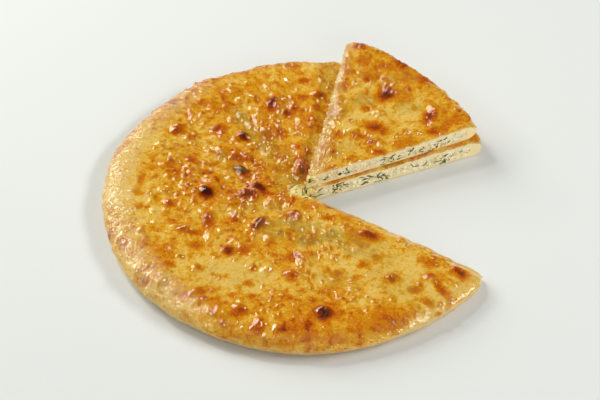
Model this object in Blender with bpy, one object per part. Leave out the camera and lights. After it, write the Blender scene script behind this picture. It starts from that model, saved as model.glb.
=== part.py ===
"""Cheese and herb pie: a round flat pie cut into a large part and two slices.

The underside lies on z = 0.  One slice is still in its place, and the slice that came out of the
open wedge lies on top of it.  Each of the three has a crust, which is a thin top sheet and a thin
base sheet joined by a solid dough rim, and a filling that shows at the cuts and in the vent hole.
Lengths below are millimetres, and angles are degrees about the pie's centre, from +X towards +Y.
"""
import math
import random
from dataclasses import dataclass

import bmesh
import bpy
from mathutils.geometry import delaunay_2d_cdt

MM = 0.001
SEED = 41
PIE_CENTRE = (8.2, -0.5)        # the pie's centre; puts the origin under the middle of the whole

# Dough
RADIUS = 160.0
FLAT_HEIGHT = 13.4              # thickness of the large part, away from the rim
TOP_SHEET = 1.8
BASE_SHEET = 1.7
RIM_DOUGH = 12.0                # solid dough between the filling and the outer edge
RIM_TOP_ROUND = 10.0            # how far in the edge's rounding reaches on top
SOFT_RIM = 12.0                 # and how much further round the left and the front
RIM_BASE_ROUND = 8.5            # and underneath
PIE_CORNER = 4.5                # the rim draws in by this much where a cut crosses it
SLICE_CORNER = 2.4              # and less on the slices
CORNER_WIDTH = 2.6              # degrees
LOW_CORNER = 4.2                # the rim sinks by this much towards the open wedge's first edge
SAG_WIDTH = 5.5                 # the top rolls down over this distance from a cut
VENT_RADIUS = 8.0               # hole in the middle of the top sheet
VENT_TEAR = 7.0                 # how much further it is torn open on its left side
TEAR_DIRECTION = 172.0
GAP = 0.3                       # clearance between nodes

# Cuts
CUT_FRONT = -30.3               # first edge of the open wedge
CUT_RIGHT = 23.7                # second edge of the open wedge
CUT_BACK = 76.6                 # cut between the slice in its place and the large part
SLICE_SHIFT = 1.2               # the slice in its place has slid out by this much

# The lifted slice
LIFTED_APEX = (0.0, 2.7)
LIFTED_CUTS = (24.8, 78.4)
LIFTED_FLAT = 11.4
LIFTED_REACH = (152.5, 158.5, 166.0)    # radius at its first cut, middle and second cut
CLEARANCE = 0.45                # between the lifted slice and what carries it
SNAP = 0.02                     # points this close to the edge lie on it

# Mesh
STATION_STEP = 2.6              # degrees between stations along the rim
INNER_STATION_STEP = 5.2        # and along the hollow's outer edge
VENT_STEP = 9.0                 # and along the vent's edge
FINE_STEP = 7.6                 # spacing of points on the top
COARSE_STEP = 13.0              # spacing of points on hidden faces
FLAT_STEP = 30.0                # on flat ones
BENT_STEP = 12.0                # and on the lifted slice's bent underside
LONG_STEP = 400.0               # no further points along a straight, flat edge
TOP_ROWS = (0.9, 3.0, 6.2, RIM_TOP_ROUND)
BASE_ROWS = (0.8, 3.2, RIM_BASE_ROUND)
INNER_ROWS = (0.8, 3.0)
CUT_ROWS = (3.6, 8.0)           # rows of points that run beside each cut
MOUND = 0.55                    # the filling stands up inside this share of the vent

# The largest blisters of the baked top: x, y, length, width, height, direction in degrees
PIE_BLISTERS = (
    (-51, 21, 17, 9, 3.4, -45), (-76, -3, 15, 13, 3.8, 80), (-52, 62, 12, 9, 2.8, 0),
    (-37, 2, 17, 10, 3.0, -30), (-46, -7, 14, 11, 3.0, 20), (-33, -36, 14, 10, 2.8, 60),
    (-30, 103, 16, 9, 2.8, 90), (-17, 92, 11, 9, 2.4, 0), (-5, 27, 17, 11, 3.0, 80),
    (47, -46, 14, 9, 2.4, -20), (114, -80, 12, 9, 2.2, -30), (-58, -66, 10, 8, 2.0, 0),
    (15, -127, 14, 12, 2.6, 0), (-105, 68, 14, 10, 2.6, 20), (-74, 72, 14, 11, 3.0, 40),
    (-68, 40, 16, 8, 2.6, 75), (-28, 43, 15, 8, 2.8, 70), (-12, 100, 12, 9, 2.4, 60),
    (8, 116, 12, 8, 2.2, 0), (0, -74, 22, 13, 3.2, 100), (-28, -86, 13, 9, 2.6, 60),
    (-75, -34, 15, 9, 2.6, 90), (-91, -46, 15, 7, 2.0, 0), (-32, 68, 14, 9, 2.6, 30),
    (-53, -28, 14, 8, 2.6, 80), (-27, -14, 14, 9, 2.8, 70), (65, -91, 11, 9, 2.2, 0),
    (-47, -127, 12, 9, 2.2, 0), (-32, -140, 12, 8, 2.0, 60), (-79, -112, 14, 9, 2.4, 30),
    (-92, 24, 13, 8, 2.2, 0), (-10, -90, 11, 9, 2.2, 0), (95, -95, 14, 7, 2.0, -60),
    (-106, -17, 10, 8, 1.8, 0), (-9, -26, 12, 9, 2.4, 0), (-54, 88, 13, 8, 2.4, 50),
)
LIFTED_BLISTERS = (
    (58, 79, 14, 8, 2.2, -20), (66, 116, 13, 12, 3.0, 60), (103, 84, 13, 9, 2.4, 90),
    (56, 48, 11, 8, 2.0, 0), (21, 31, 12, 9, 2.2, 0), (35, 58, 14, 8, 2.0, 20),
    (28, 82, 11, 8, 2.0, 0), (104, 66, 10, 8, 1.8, 0), (80, 138, 13, 10, 2.2, -30),
    (100, 112, 12, 9, 2.0, -40), (45, 104, 13, 9, 2.0, 50),
)
SMALL_LUMPS = 40                # further low lumps scattered over the large part
LUMP_REACH = 1.3                # a lump fades out at this share of its stated size
LUMP_SCALE = 1.15


@dataclass
class Sector:
    """A part of the pie between two cuts, worked out about its own apex."""
    name: str
    apex: tuple
    cuts: tuple
    flat: float
    reach: tuple
    rise: object                # extra height at the rim, by angle
    round: object               # how far in the rounding of the rim reaches on top, by angle
    under: object               # height of the underside, by x and y
    sag: tuple                  # how far the top rolls down at each cut
    tear: float                 # how much further than the rest its vent is torn open
    lumps: tuple
    cover: object               # 0 where something lies on the top, 1 where it is free
    base_step: float            # spacing of points on the underside
    corner: float               # how far the rim draws in at the cuts


def smooth(value):
    value = min(max(value, 0.0), 1.0)
    return value * value * (3.0 - 2.0 * value)


def bell(offset, width):
    return math.exp(-(offset / width) ** 2)


def polar(sector, x, y):
    """Radius and angle of a point about the sector's apex, the angle near the sector's own."""
    dx, dy = x - sector.apex[0], y - sector.apex[1]
    angle = math.degrees(math.atan2(dy, dx))
    middle = sum(sector.cuts) / 2
    angle += 360.0 * round((middle - angle) / 360.0)
    return math.hypot(dx, dy), angle


def place(sector, radius, angle):
    turn = math.radians(angle)
    return sector.apex[0] + radius * math.cos(turn), sector.apex[1] + radius * math.sin(turn)


# ---------------------------------------------------------------- heights

def pie_rise(angle):
    """The rim stands highest at the back, and lower beside the open wedge."""
    from_front = angle - CUT_FRONT - 360
    return 3.0 + 3.3 * bell(angle - 82, 26) - 1.4 * bell(from_front, 22) \
        - LOW_CORNER * bell(from_front, 9) - 1.2 * bell(angle - CUT_RIGHT, 20)


def pie_round(angle):
    """How far the rim's rounding reaches in: further round the left and the front."""
    return RIM_TOP_ROUND + SOFT_RIM * smooth((angle - 112) / 34) * smooth((338 - angle) / 36)


def slice_round(angle):
    return RIM_TOP_ROUND


def lifted_rise(angle):
    return 1.8 + 6.4 * smooth((angle - 42) / 34)


def even_radius(sector, angle):
    """A smooth curve through the three reach values."""
    first, last = sector.cuts
    part = (angle - first) / (last - first)
    low, middle, high = sector.reach
    return low + (high - low) * part + 4 * (middle - (low + high) / 2) * part * (1 - part)


def rim_ramp(radius, reach):
    """0 over the flat middle, rising to 1 at the rim."""
    return 0.5 * smooth((radius - 55) / (reach - 65)) + 0.5 * smooth((radius - 112) / (reach - 124))


def edge_radius(sector, angle):
    """Outer radius: the reach, made uneven and drawn in at the cuts."""
    first, last = sector.cuts
    radius = even_radius(sector, angle)
    radius += 0.8 * math.sin(math.radians(3 * angle + 40)) + 0.5 * math.sin(math.radians(7 * angle))
    radius -= 2.2 * bell(angle - 114, 10)
    drop = bell(angle - first, CORNER_WIDTH) + bell(angle - last, CORNER_WIDTH)
    return radius - sector.corner * drop


def vent_radius(sector, angle):
    """The vent's edge: a small circle, torn open further on one side of the large part."""
    return VENT_RADIUS + sector.tear * bell(angle - TEAR_DIRECTION, 48)


def cut_distance(sector, radius, angle, which):
    """Distance from a cut's plane, large on the far side of the apex."""
    turn = math.radians(abs(angle - sector.cuts[which]))
    if turn > math.pi / 2:
        return radius
    return radius * math.sin(turn)


def body_height(sector, x, y):
    """Thickness without lumps and without the rounding of the edge."""
    radius, angle = polar(sector, x, y)
    height = sector.flat + sector.rise(angle) * rim_ramp(radius, even_radius(sector, angle))
    for which in (0, 1):
        height -= sector.sag[which] * bell(cut_distance(sector, radius, angle, which), SAG_WIDTH)
    return height


def lump_height(sector, x, y):
    total = 0.0
    for cx, cy, length, width, height, direction in sector.lumps:
        turn = math.radians(direction)
        dx, dy = x - cx, y - cy
        along = dx * math.cos(turn) + dy * math.sin(turn)
        across = dy * math.cos(turn) - dx * math.sin(turn)
        distance = math.hypot(along / length, across / width) * 2
        if distance < LUMP_REACH:
            total = max(total, LUMP_SCALE * height * smooth(1 - distance / LUMP_REACH))
    radius, angle = polar(sector, x, y)
    inset = edge_radius(sector, angle) - radius
    return total * smooth(inset / 12) * sector.cover(x, y)


def inset_from(sector, x, y, rim):
    """How far a point lies inside a ring that runs parallel to the outer edge."""
    radius, angle = polar(sector, x, y)
    inset = edge_radius(sector, angle) - rim - radius
    return inset if inset > SNAP else 0.0


def crown(inset, reach):
    """Quarter round, from 0 at the edge to 1 where the rounding ends."""
    return math.sqrt(1 - (1 - min(inset / reach, 1)) ** 2)


def top_point(sector, x, y):
    """Height of the baked top: the body, its lumps and the rounded edge."""
    base = sector.under(x, y)
    height = body_height(sector, x, y)
    reach = sector.round(polar(sector, x, y)[1])
    rounding = crown(inset_from(sector, x, y, 0.0), reach)
    return base + 0.5 * height * (1 + rounding) + lump_height(sector, x, y)


def base_point(sector, x, y):
    height = body_height(sector, x, y)
    rounding = crown(inset_from(sector, x, y, 0.0), RIM_BASE_ROUND)
    return sector.under(x, y) + 0.5 * height * (1 - rounding)


def inner_point(sector, x, y, side, gap):
    """Height of the hollow's roof (side 1) or floor (side -1); a gap shrinks it to the filling."""
    base = sector.under(x, y)
    roof = base + body_height(sector, x, y) - TOP_SHEET - gap
    floor = base + BASE_SHEET + gap
    middle = (roof + floor) / 2
    rounding = crown(inset_from(sector, x, y, RIM_DOUGH), INNER_ROWS[-1])
    height = middle + side * (roof - floor) / 2 * (0.25 + 0.75 * rounding)
    if side > 0 and gap > 0:
        radius, angle = polar(sector, x, y)
        height += (TOP_SHEET - 0.2) * smooth((vent_radius(sector, angle) - 0.8 - radius) / 3.5)
    return height


# ---------------------------------------------------------------- plans

def stations(sector, step):
    first, last = sector.cuts
    count = max(int(math.ceil((last - first) / step)), 4)
    return [first + (last - first) * i / count for i in range(count + 1)]


def rim_step(rim):
    return STATION_STEP if rim == 0 else INNER_STATION_STEP


def ring(sector, inset, angles):
    return [place(sector, edge_radius(sector, a) - inset, a) for a in angles]


def vent_edge(sector, share=1.0, step=VENT_STEP):
    return [place(sector, share * vent_radius(sector, angle), angle)
            for angle in stations(sector, step)]


def spread(start, end, step):
    count = max(int(round(abs(end - start) / step)), 1)
    return [start + (end - start) * i / count for i in range(count + 1)]


def cut_line(sector, which, rows, rim, stops, step):
    """Points down a cut from inside the edge; stops are shares of the vent's radius, the last left out."""
    angle = sector.cuts[which]
    edge = edge_radius(sector, angle) - rim
    radii = [edge - row for row in rows]
    for stop in stops:
        radii += spread(radii[-1], stop * vent_radius(sector, angle), step)[1:]
    return [place(sector, radius, angle) for radius in radii[:-1]]


def sector_outline(sector, rows, rim, stops, step):
    """Closed outline in plan, counter-clockwise; the last stop is the vent's edge or the apex."""
    outline = ring(sector, rim, stations(sector, rim_step(rim)))
    outline += cut_line(sector, 1, rows, rim, stops, step)
    if stops[-1] > 0:
        outline += reversed(vent_edge(sector))
    else:
        outline.append(sector.apex)
    outline += reversed(cut_line(sector, 0, rows, rim, stops, step))
    return outline


def lump_points(sector):
    points = []
    for cx, cy, length, width, _, direction in sector.lumps:
        turn = math.radians(direction)
        points.append((cx, cy))
        for share, count in ((0.55, 5), (LUMP_REACH, 7)):
            for step in range(count):
                angle = 2 * math.pi * (step + 0.5 * (count % 2)) / count
                along = share * length / 2 * math.cos(angle)
                across = share * width / 2 * math.sin(angle)
                points.append((cx + along * math.cos(turn) - across * math.sin(turn),
                               cy + along * math.sin(turn) + across * math.cos(turn)))
    return points


def hex_points(sector, step, draw):
    points = []
    count = int(RADIUS / step) + 2
    for row in range(-count, count + 1):
        for column in range(-count, count + 1):
            x = (column + 0.5 * (row % 2)) * step + draw.uniform(-0.12, 0.12) * step
            y = row * step * 0.866 + draw.uniform(-0.12, 0.12) * step
            points.append((x, y))
    return points


def inner_points(sector, rows, rim, vent, step, lumps, draw):
    """Plan points inside the outline: rim rows, rows beside the cuts, lumps, then an even fill."""
    chosen = []
    edge_rows = [row for row in rows if row > 0]
    for row in edge_rows:
        chosen += ring(sector, rim + row, stations(sector, rim_step(rim))[1:-1])
    limit = edge_rows[-1] + rim

    def free(x, y, margin, spacing):
        radius, angle = polar(sector, x, y)
        if not sector.cuts[0] < angle < sector.cuts[1]:
            return False
        if edge_radius(sector, angle) - radius < limit + 0.4 * margin:
            return False
        if radius < vent * vent_radius(sector, angle) + 0.4 * margin:
            return False
        for which in (0, 1):
            if cut_distance(sector, radius, angle, which) < margin:
                return False
        return all((x - px) ** 2 + (y - py) ** 2 > spacing ** 2 for px, py in chosen)

    for which in (0, 1):
        inward = 1 if which == 0 else -1
        for row in CUT_ROWS:
            for radius in spread(VENT_RADIUS + 5, RADIUS - 16, min(step, 7.0)):
                x, y = place(sector, radius, sector.cuts[which])
                turn = math.radians(sector.cuts[which] + 90 * inward)
                x, y = x + row * math.cos(turn), y + row * math.sin(turn)
                if free(x, y, 2.2, 2.6):
                    chosen.append((x, y))
    if lumps:
        for x, y in lump_points(sector):
            if free(x, y, 2.0, 2.0):
                chosen.append((x, y))
    for x, y in hex_points(sector, step, draw):
        if free(x, y, 0.45 * step, 0.62 * step):
            chosen.append((x, y))
    return chosen


def triangulate(outline, points, lines=()):
    """Constrained triangulation of a plan; lines are further chains of points to keep as edges."""
    coords = [tuple(point) for point in outline] + list(points)
    edges = []
    for line in lines:
        first = len(coords)
        coords += line
        edges += [(first + i, first + i + 1) for i in range(len(line) - 1)]
    face = list(range(len(outline)))
    result = delaunay_2d_cdt(coords, edges, [face], 1, 1e-5)
    return [tuple(vert) for vert in result[0]], [tuple(face) for face in result[2]]


# ---------------------------------------------------------------- solids

def add_sheet(shape, verts, faces, height, upward):
    """Adds a plan to the shape at the heights that a function gives."""
    made = [shape.verts.new((x, y, height(x, y))) for x, y in verts]
    for face in faces:
        corners = [made[index] for index in face]
        flipped = corners if upward else corners[::-1]
        shape.faces.new(flipped)


def add_wall(shape, lower, upper):
    """Adds a strip of faces between two rows of points."""
    low = [shape.verts.new(point) for point in lower]
    high = [shape.verts.new(point) for point in upper]
    for i in range(len(low) - 1):
        shape.faces.new((low[i], low[i + 1], high[i + 1], high[i]))


def join_apex(shape, sector):
    """Adds the upright edge at the apex, where the two cuts meet."""
    tips = [vert for vert in shape.verts
            if math.dist((vert.co.x, vert.co.y), sector.apex) < 0.003]
    return shape.edges.new(tips)


def fill_cuts(shape, sector):
    """Fills the flat face that each cut leaves open."""
    bmesh.ops.remove_doubles(shape, verts=shape.verts, dist=0.002)
    upright = join_apex(shape, sector)
    for which in (0, 1):
        turn = math.radians(sector.cuts[which])
        normal = (-math.sin(turn), math.cos(turn))

        def on_cut(vert):
            dx, dy = vert.co.x - sector.apex[0], vert.co.y - sector.apex[1]
            ahead = dx * math.cos(turn) + dy * math.sin(turn)
            return abs(dx * normal[0] + dy * normal[1]) < 0.003 and ahead > -0.003

        open_edges = [edge for edge in shape.edges
                      if edge.is_boundary and on_cut(edge.verts[0]) and on_cut(edge.verts[1])]
        open_edges = list(set(open_edges) | {upright})
        open_edges.sort(key=lambda edge: tuple(edge.verts[0].co) + tuple(edge.verts[1].co))
        bmesh.ops.triangle_fill(shape, use_beauty=True, edges=open_edges)
    bmesh.ops.recalc_face_normals(shape, faces=shape.faces)


def finish_shape(shape, name, collection, colour, roughness):
    """Moves the shape to the part's frame, in metres, and gives it its material."""
    for vert in shape.verts:
        vert.co.x = (vert.co.x + PIE_CENTRE[0]) * MM
        vert.co.y = (vert.co.y + PIE_CENTRE[1]) * MM
        vert.co.z = vert.co.z * MM
    mesh = bpy.data.meshes.new(name)
    shape.to_mesh(mesh)
    shape.free()
    mesh.shade_smooth()
    mesh.set_sharp_from_angle(angle=math.radians(40))
    material = bpy.data.materials.new(name)
    material.use_nodes = True
    shader = material.node_tree.nodes["Principled BSDF"]
    shader.inputs["Base Color"].default_value = (*colour, 1.0)
    shader.inputs["Roughness"].default_value = roughness
    shader.inputs["Metallic"].default_value = 0.0
    mesh.materials.append(material)
    solid = bpy.data.objects.new(name, mesh)
    collection.objects.link(solid)
    return solid


def inner_plan(sector, draw):
    """Plan shared by the hollow's roof and the filling's top, with the vent's edge kept in it."""
    outline = sector_outline(sector, INNER_ROWS, RIM_DOUGH, (1.0, MOUND, 0.0), 9.0)
    points = inner_points(sector, INNER_ROWS, RIM_DOUGH, 1.0, COARSE_STEP, False, draw)
    points += vent_edge(sector, MOUND, 3 * VENT_STEP)[1:-1]
    return triangulate(outline, points, [vent_edge(sector)])


def shrunk(sector, x, y, gap):
    """Draws a point near the hollow's outer wall in by the gap."""
    radius, angle = polar(sector, x, y)
    inset = edge_radius(sector, angle) - RIM_DOUGH - radius
    radius -= gap * smooth(1 - inset / 12)
    return place(sector, radius, angle)


def cut_step(sector):
    """A flat underside needs no points along its cuts."""
    return LONG_STEP if sector.base_step == FLAT_STEP else sector.base_step


def floor_plan(sector, draw):
    outline = sector_outline(sector, INNER_ROWS, RIM_DOUGH, (0.0,), cut_step(sector))
    points = inner_points(sector, INNER_ROWS, RIM_DOUGH, 0.0, sector.base_step, False, draw)
    return triangulate(outline, points)


def build_crust(sector, collection, inner, floor, draw):
    shape = bmesh.new()
    outline = sector_outline(sector, TOP_ROWS, 0.0, (1.0,), 6.0)
    points = inner_points(sector, TOP_ROWS, 0.0, 1.0, FINE_STEP, True, draw)
    add_sheet(shape, *triangulate(outline, points), lambda x, y: top_point(sector, x, y), True)

    outline = sector_outline(sector, BASE_ROWS, 0.0, (0.0,), cut_step(sector))
    points = inner_points(sector, BASE_ROWS, 0.0, 0.0, sector.base_step, False, draw)
    add_sheet(shape, *triangulate(outline, points), lambda x, y: base_point(sector, x, y), False)

    verts, faces = inner
    roof = [face for face in faces if outside_vent(sector, *centre_of(verts, face))]
    add_sheet(shape, verts, roof, lambda x, y: inner_point(sector, x, y, 1, 0.0), False)
    add_sheet(shape, *floor, lambda x, y: inner_point(sector, x, y, -1, 0.0), True)

    add_wall(shape,
             [(x, y, inner_point(sector, x, y, 1, 0.0)) for x, y in vent_edge(sector)],
             [(x, y, top_point(sector, x, y)) for x, y in vent_edge(sector)])
    bmesh.ops.delete(shape, geom=[v for v in shape.verts if not v.link_faces], context='VERTS')
    fill_inner_step(shape, sector)
    fill_cuts(shape, sector)
    return finish_shape(shape, sector.name + "_crust", collection, (0.72, 0.43, 0.14), 0.35)


def outside_vent(sector, x, y):
    radius, angle = polar(sector, x, y)
    return radius > 0.985 * vent_radius(sector, angle)


def centre_of(verts, face):
    count = len(face)
    return sum(verts[i][0] for i in face) / count, sum(verts[i][1] for i in face) / count


def fill_inner_step(shape, sector, gap=0.0):
    """Closes the low wall between roof and floor along the hollow's outer edge."""
    ring_points = ring(sector, RIM_DOUGH, stations(sector, INNER_STATION_STEP))
    rows = []
    for side in (-1, 1):
        row = []
        for x, y in ring_points:
            sx, sy = shrunk(sector, x, y, gap)
            row.append((sx, sy, inner_point(sector, x, y, side, gap)))
        rows.append(row)
    add_wall(shape, rows[0], rows[1])


def build_filling(sector, collection, inner, floor):
    shape = bmesh.new()
    for plan, side in ((inner, 1), (floor, -1)):
        verts, faces = plan
        made = []
        for x, y in verts:
            sx, sy = shrunk(sector, x, y, GAP)
            made.append(shape.verts.new((sx, sy, inner_point(sector, x, y, side, GAP))))
        for face in faces:
            shape.faces.new([made[index] for index in face])
    fill_inner_step(shape, sector, GAP)
    fill_cuts(shape, sector)
    return finish_shape(shape, sector.name + "_filling", collection, (0.90, 0.86, 0.72), 0.75)


# ---------------------------------------------------------------- the three sectors

def carried_height(x, y):
    """Top of what lies under the lifted slice, without lumps, cuts or rounded edge."""
    radius = math.hypot(x, y)
    angle = math.degrees(math.atan2(y, x))
    return FLAT_HEIGHT + pie_rise(angle) * rim_ramp(radius, RADIUS) + CLEARANCE


def beside_lifted(x, y):
    """1 where the top is free, falling to 0 beside and under the lifted slice."""
    turn = math.radians(LIFTED_CUTS[1])
    dx, dy = x - LIFTED_APEX[0], y - LIFTED_APEX[1]
    ahead = dx * math.cos(turn) + dy * math.sin(turn)
    left = dy * math.cos(turn) - dx * math.sin(turn)
    if ahead < 0:
        return smooth((math.hypot(dx, dy) - 4) / 6)
    return smooth((left - 4) / 6)


def scattered_lumps(draw):
    """Low lumps, thickest over the back left of the large part."""
    lumps = []
    while len(lumps) < SMALL_LUMPS:
        angle = draw.uniform(CUT_BACK + 5, 360 + CUT_FRONT - 5)
        radius = math.sqrt(draw.uniform(0.04, 0.76)) * RADIUS
        if angle > 230 and draw.random() < 0.55:
            continue
        x = radius * math.cos(math.radians(angle))
        y = radius * math.sin(math.radians(angle))
        lumps.append((x, y, draw.uniform(8, 14), draw.uniform(6, 9), draw.uniform(1.0, 2.0),
                      draw.uniform(30, 110)))
    return tuple(lumps)


def make_sectors(draw):
    middle = math.radians((CUT_RIGHT + CUT_BACK) / 2)
    slid = (SLICE_SHIFT * math.cos(middle), SLICE_SHIFT * math.sin(middle))
    pie = Sector("pie", (0.0, 0.0), (CUT_BACK, 360 + CUT_FRONT), FLAT_HEIGHT,
                 (RADIUS, RADIUS, RADIUS), pie_rise, pie_round, lambda x, y: 0.0, (0.6, 4.4), VENT_TEAR,
                 PIE_BLISTERS + scattered_lumps(draw), beside_lifted, FLAT_STEP, PIE_CORNER)
    lower = Sector("lower_slice", slid, (CUT_RIGHT, CUT_BACK), FLAT_HEIGHT - 0.4,
                   (RADIUS - 3, RADIUS, RADIUS), pie_rise, slice_round, lambda x, y: 0.0, (0.5, 0.5), 0.0,
                   (), lambda x, y: 0.0, FLAT_STEP, SLICE_CORNER)
    upper = Sector("upper_slice", LIFTED_APEX, LIFTED_CUTS, LIFTED_FLAT, LIFTED_REACH, lifted_rise,
                   slice_round, carried_height, (0.4, 2.4), 0.0, LIFTED_BLISTERS, lambda x, y: 1.0,
                   BENT_STEP, SLICE_CORNER)
    return pie, lower, upper


def clear_scene():
    for item in list(bpy.data.objects):
        bpy.data.objects.remove(item, do_unlink=True)


def main():
    clear_scene()
    collection = bpy.data.collections.new("cheese_and_herb_pie")
    bpy.context.scene.collection.children.link(collection)
    draw = random.Random(SEED)
    for sector in make_sectors(draw):
        inner = inner_plan(sector, draw)
        floor = floor_plan(sector, draw)
        build_crust(sector, collection, inner, floor, draw)
        build_filling(sector, collection, inner, floor)


main()
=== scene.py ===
import math
import random
from dataclasses import dataclass
from functools import lru_cache

import bmesh
import bpy
import numpy as np
from mathutils import Matrix, Vector


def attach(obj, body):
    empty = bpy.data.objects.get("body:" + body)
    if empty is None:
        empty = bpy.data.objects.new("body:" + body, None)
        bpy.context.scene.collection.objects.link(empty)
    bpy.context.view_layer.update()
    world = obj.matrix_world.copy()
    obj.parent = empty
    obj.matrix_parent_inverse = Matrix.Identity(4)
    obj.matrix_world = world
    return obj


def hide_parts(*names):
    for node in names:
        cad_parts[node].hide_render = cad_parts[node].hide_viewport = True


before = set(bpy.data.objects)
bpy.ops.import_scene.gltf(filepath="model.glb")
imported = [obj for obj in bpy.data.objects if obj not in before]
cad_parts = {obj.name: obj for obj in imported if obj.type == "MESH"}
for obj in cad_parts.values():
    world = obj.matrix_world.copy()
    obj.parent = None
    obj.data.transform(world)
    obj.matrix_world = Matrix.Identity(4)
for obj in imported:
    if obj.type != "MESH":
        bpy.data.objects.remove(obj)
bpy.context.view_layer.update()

MM = 0.001
PIE_CENTRE = (8.2, -0.5)        # the pie's centre in the frame, mm; all plans below are about it

# ---------------------------------------------------------------- the pie's measures, mm and degrees

RADIUS = 160.0
FLAT_HEIGHT = 13.4
TOP_SHEET = 1.8
BASE_SHEET = 1.7
RIM_DOUGH = 12.0
RIM_TOP_ROUND = 10.0
SOFT_RIM = 12.0
RIM_BASE_ROUND = 8.5
HOLLOW_ROUND = 3.0
PIE_CORNER = 4.5
SLICE_CORNER = 2.4
CORNER_WIDTH = 2.6
LOW_CORNER = 4.2
SAG_WIDTH = 5.5
VENT_RADIUS = 8.0
VENT_TEAR = 7.0
TEAR_DIRECTION = 172.0
CUT_FRONT = -30.3
CUT_RIGHT = 23.7
CUT_BACK = 76.6
SLICE_SHIFT = 1.2
LIFTED_APEX = (0.0, 2.7)
LIFTED_CUTS = (24.8, 78.4)
LIFTED_FLAT = 11.4
LIFTED_REACH = (152.5, 158.5, 166.0)
CLEARANCE = 0.45
LUMP_REACH = 1.3
LUMP_SCALE = 1.15
SMALL_LUMPS = 40
SEED = 41

# Largest blisters: x, y, length, width, height, direction
PIE_BLISTERS = (
    (-51, 21, 17, 9, 3.4, -45), (-76, -3, 15, 13, 3.8, 80), (-52, 62, 12, 9, 2.8, 0),
    (-37, 2, 17, 10, 3.0, -30), (-46, -7, 14, 11, 3.0, 20), (-33, -36, 14, 10, 2.8, 60),
    (-30, 103, 16, 9, 2.8, 90), (-17, 92, 11, 9, 2.4, 0), (-5, 27, 17, 11, 3.0, 80),
    (47, -46, 14, 9, 2.4, -20), (114, -80, 12, 9, 2.2, -30), (-58, -66, 10, 8, 2.0, 0),
    (15, -127, 14, 12, 2.6, 0), (-105, 68, 14, 10, 2.6, 20), (-74, 72, 14, 11, 3.0, 40),
    (-68, 40, 16, 8, 2.6, 75), (-28, 43, 15, 8, 2.8, 70), (-12, 100, 12, 9, 2.4, 60),
    (8, 116, 12, 8, 2.2, 0), (0, -74, 22, 13, 3.2, 100), (-28, -86, 13, 9, 2.6, 60),
    (-75, -34, 15, 9, 2.6, 90), (-91, -46, 15, 7, 2.0, 0), (-32, 68, 14, 9, 2.6, 30),
    (-53, -28, 14, 8, 2.6, 80), (-27, -14, 14, 9, 2.8, 70), (65, -91, 11, 9, 2.2, 0),
    (-47, -127, 12, 9, 2.2, 0), (-32, -140, 12, 8, 2.0, 60), (-79, -112, 14, 9, 2.4, 30),
    (-92, 24, 13, 8, 2.2, 0), (-10, -90, 11, 9, 2.2, 0), (95, -95, 14, 7, 2.0, -60),
    (-106, -17, 10, 8, 1.8, 0), (-9, -26, 12, 9, 2.4, 0), (-54, 88, 13, 8, 2.4, 50),
    (-41, 87, 12, 8, 2.8, 60), (-28, 76, 11, 8, 2.6, 30), (-41, 54, 13, 9, 3.0, 60),
    (-95, -112, 11, 8, 2.0, 40), (-76, -121, 12, 8, 2.2, 20), (-106, -104, 11, 8, 2.0, 50),
)
LIFTED_BLISTERS = (
    (58, 79, 14, 8, 2.2, -20), (66, 116, 13, 12, 3.0, 60), (103, 84, 13, 9, 2.4, 90),
    (56, 48, 11, 8, 2.0, 0), (21, 31, 12, 9, 2.2, 0), (35, 58, 14, 8, 2.0, 20),
    (28, 82, 11, 8, 2.0, 0), (104, 66, 10, 8, 1.8, 0), (80, 138, 13, 10, 2.2, -30),
    (100, 112, 12, 9, 2.0, -40), (45, 104, 13, 9, 2.0, 50),
)

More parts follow.
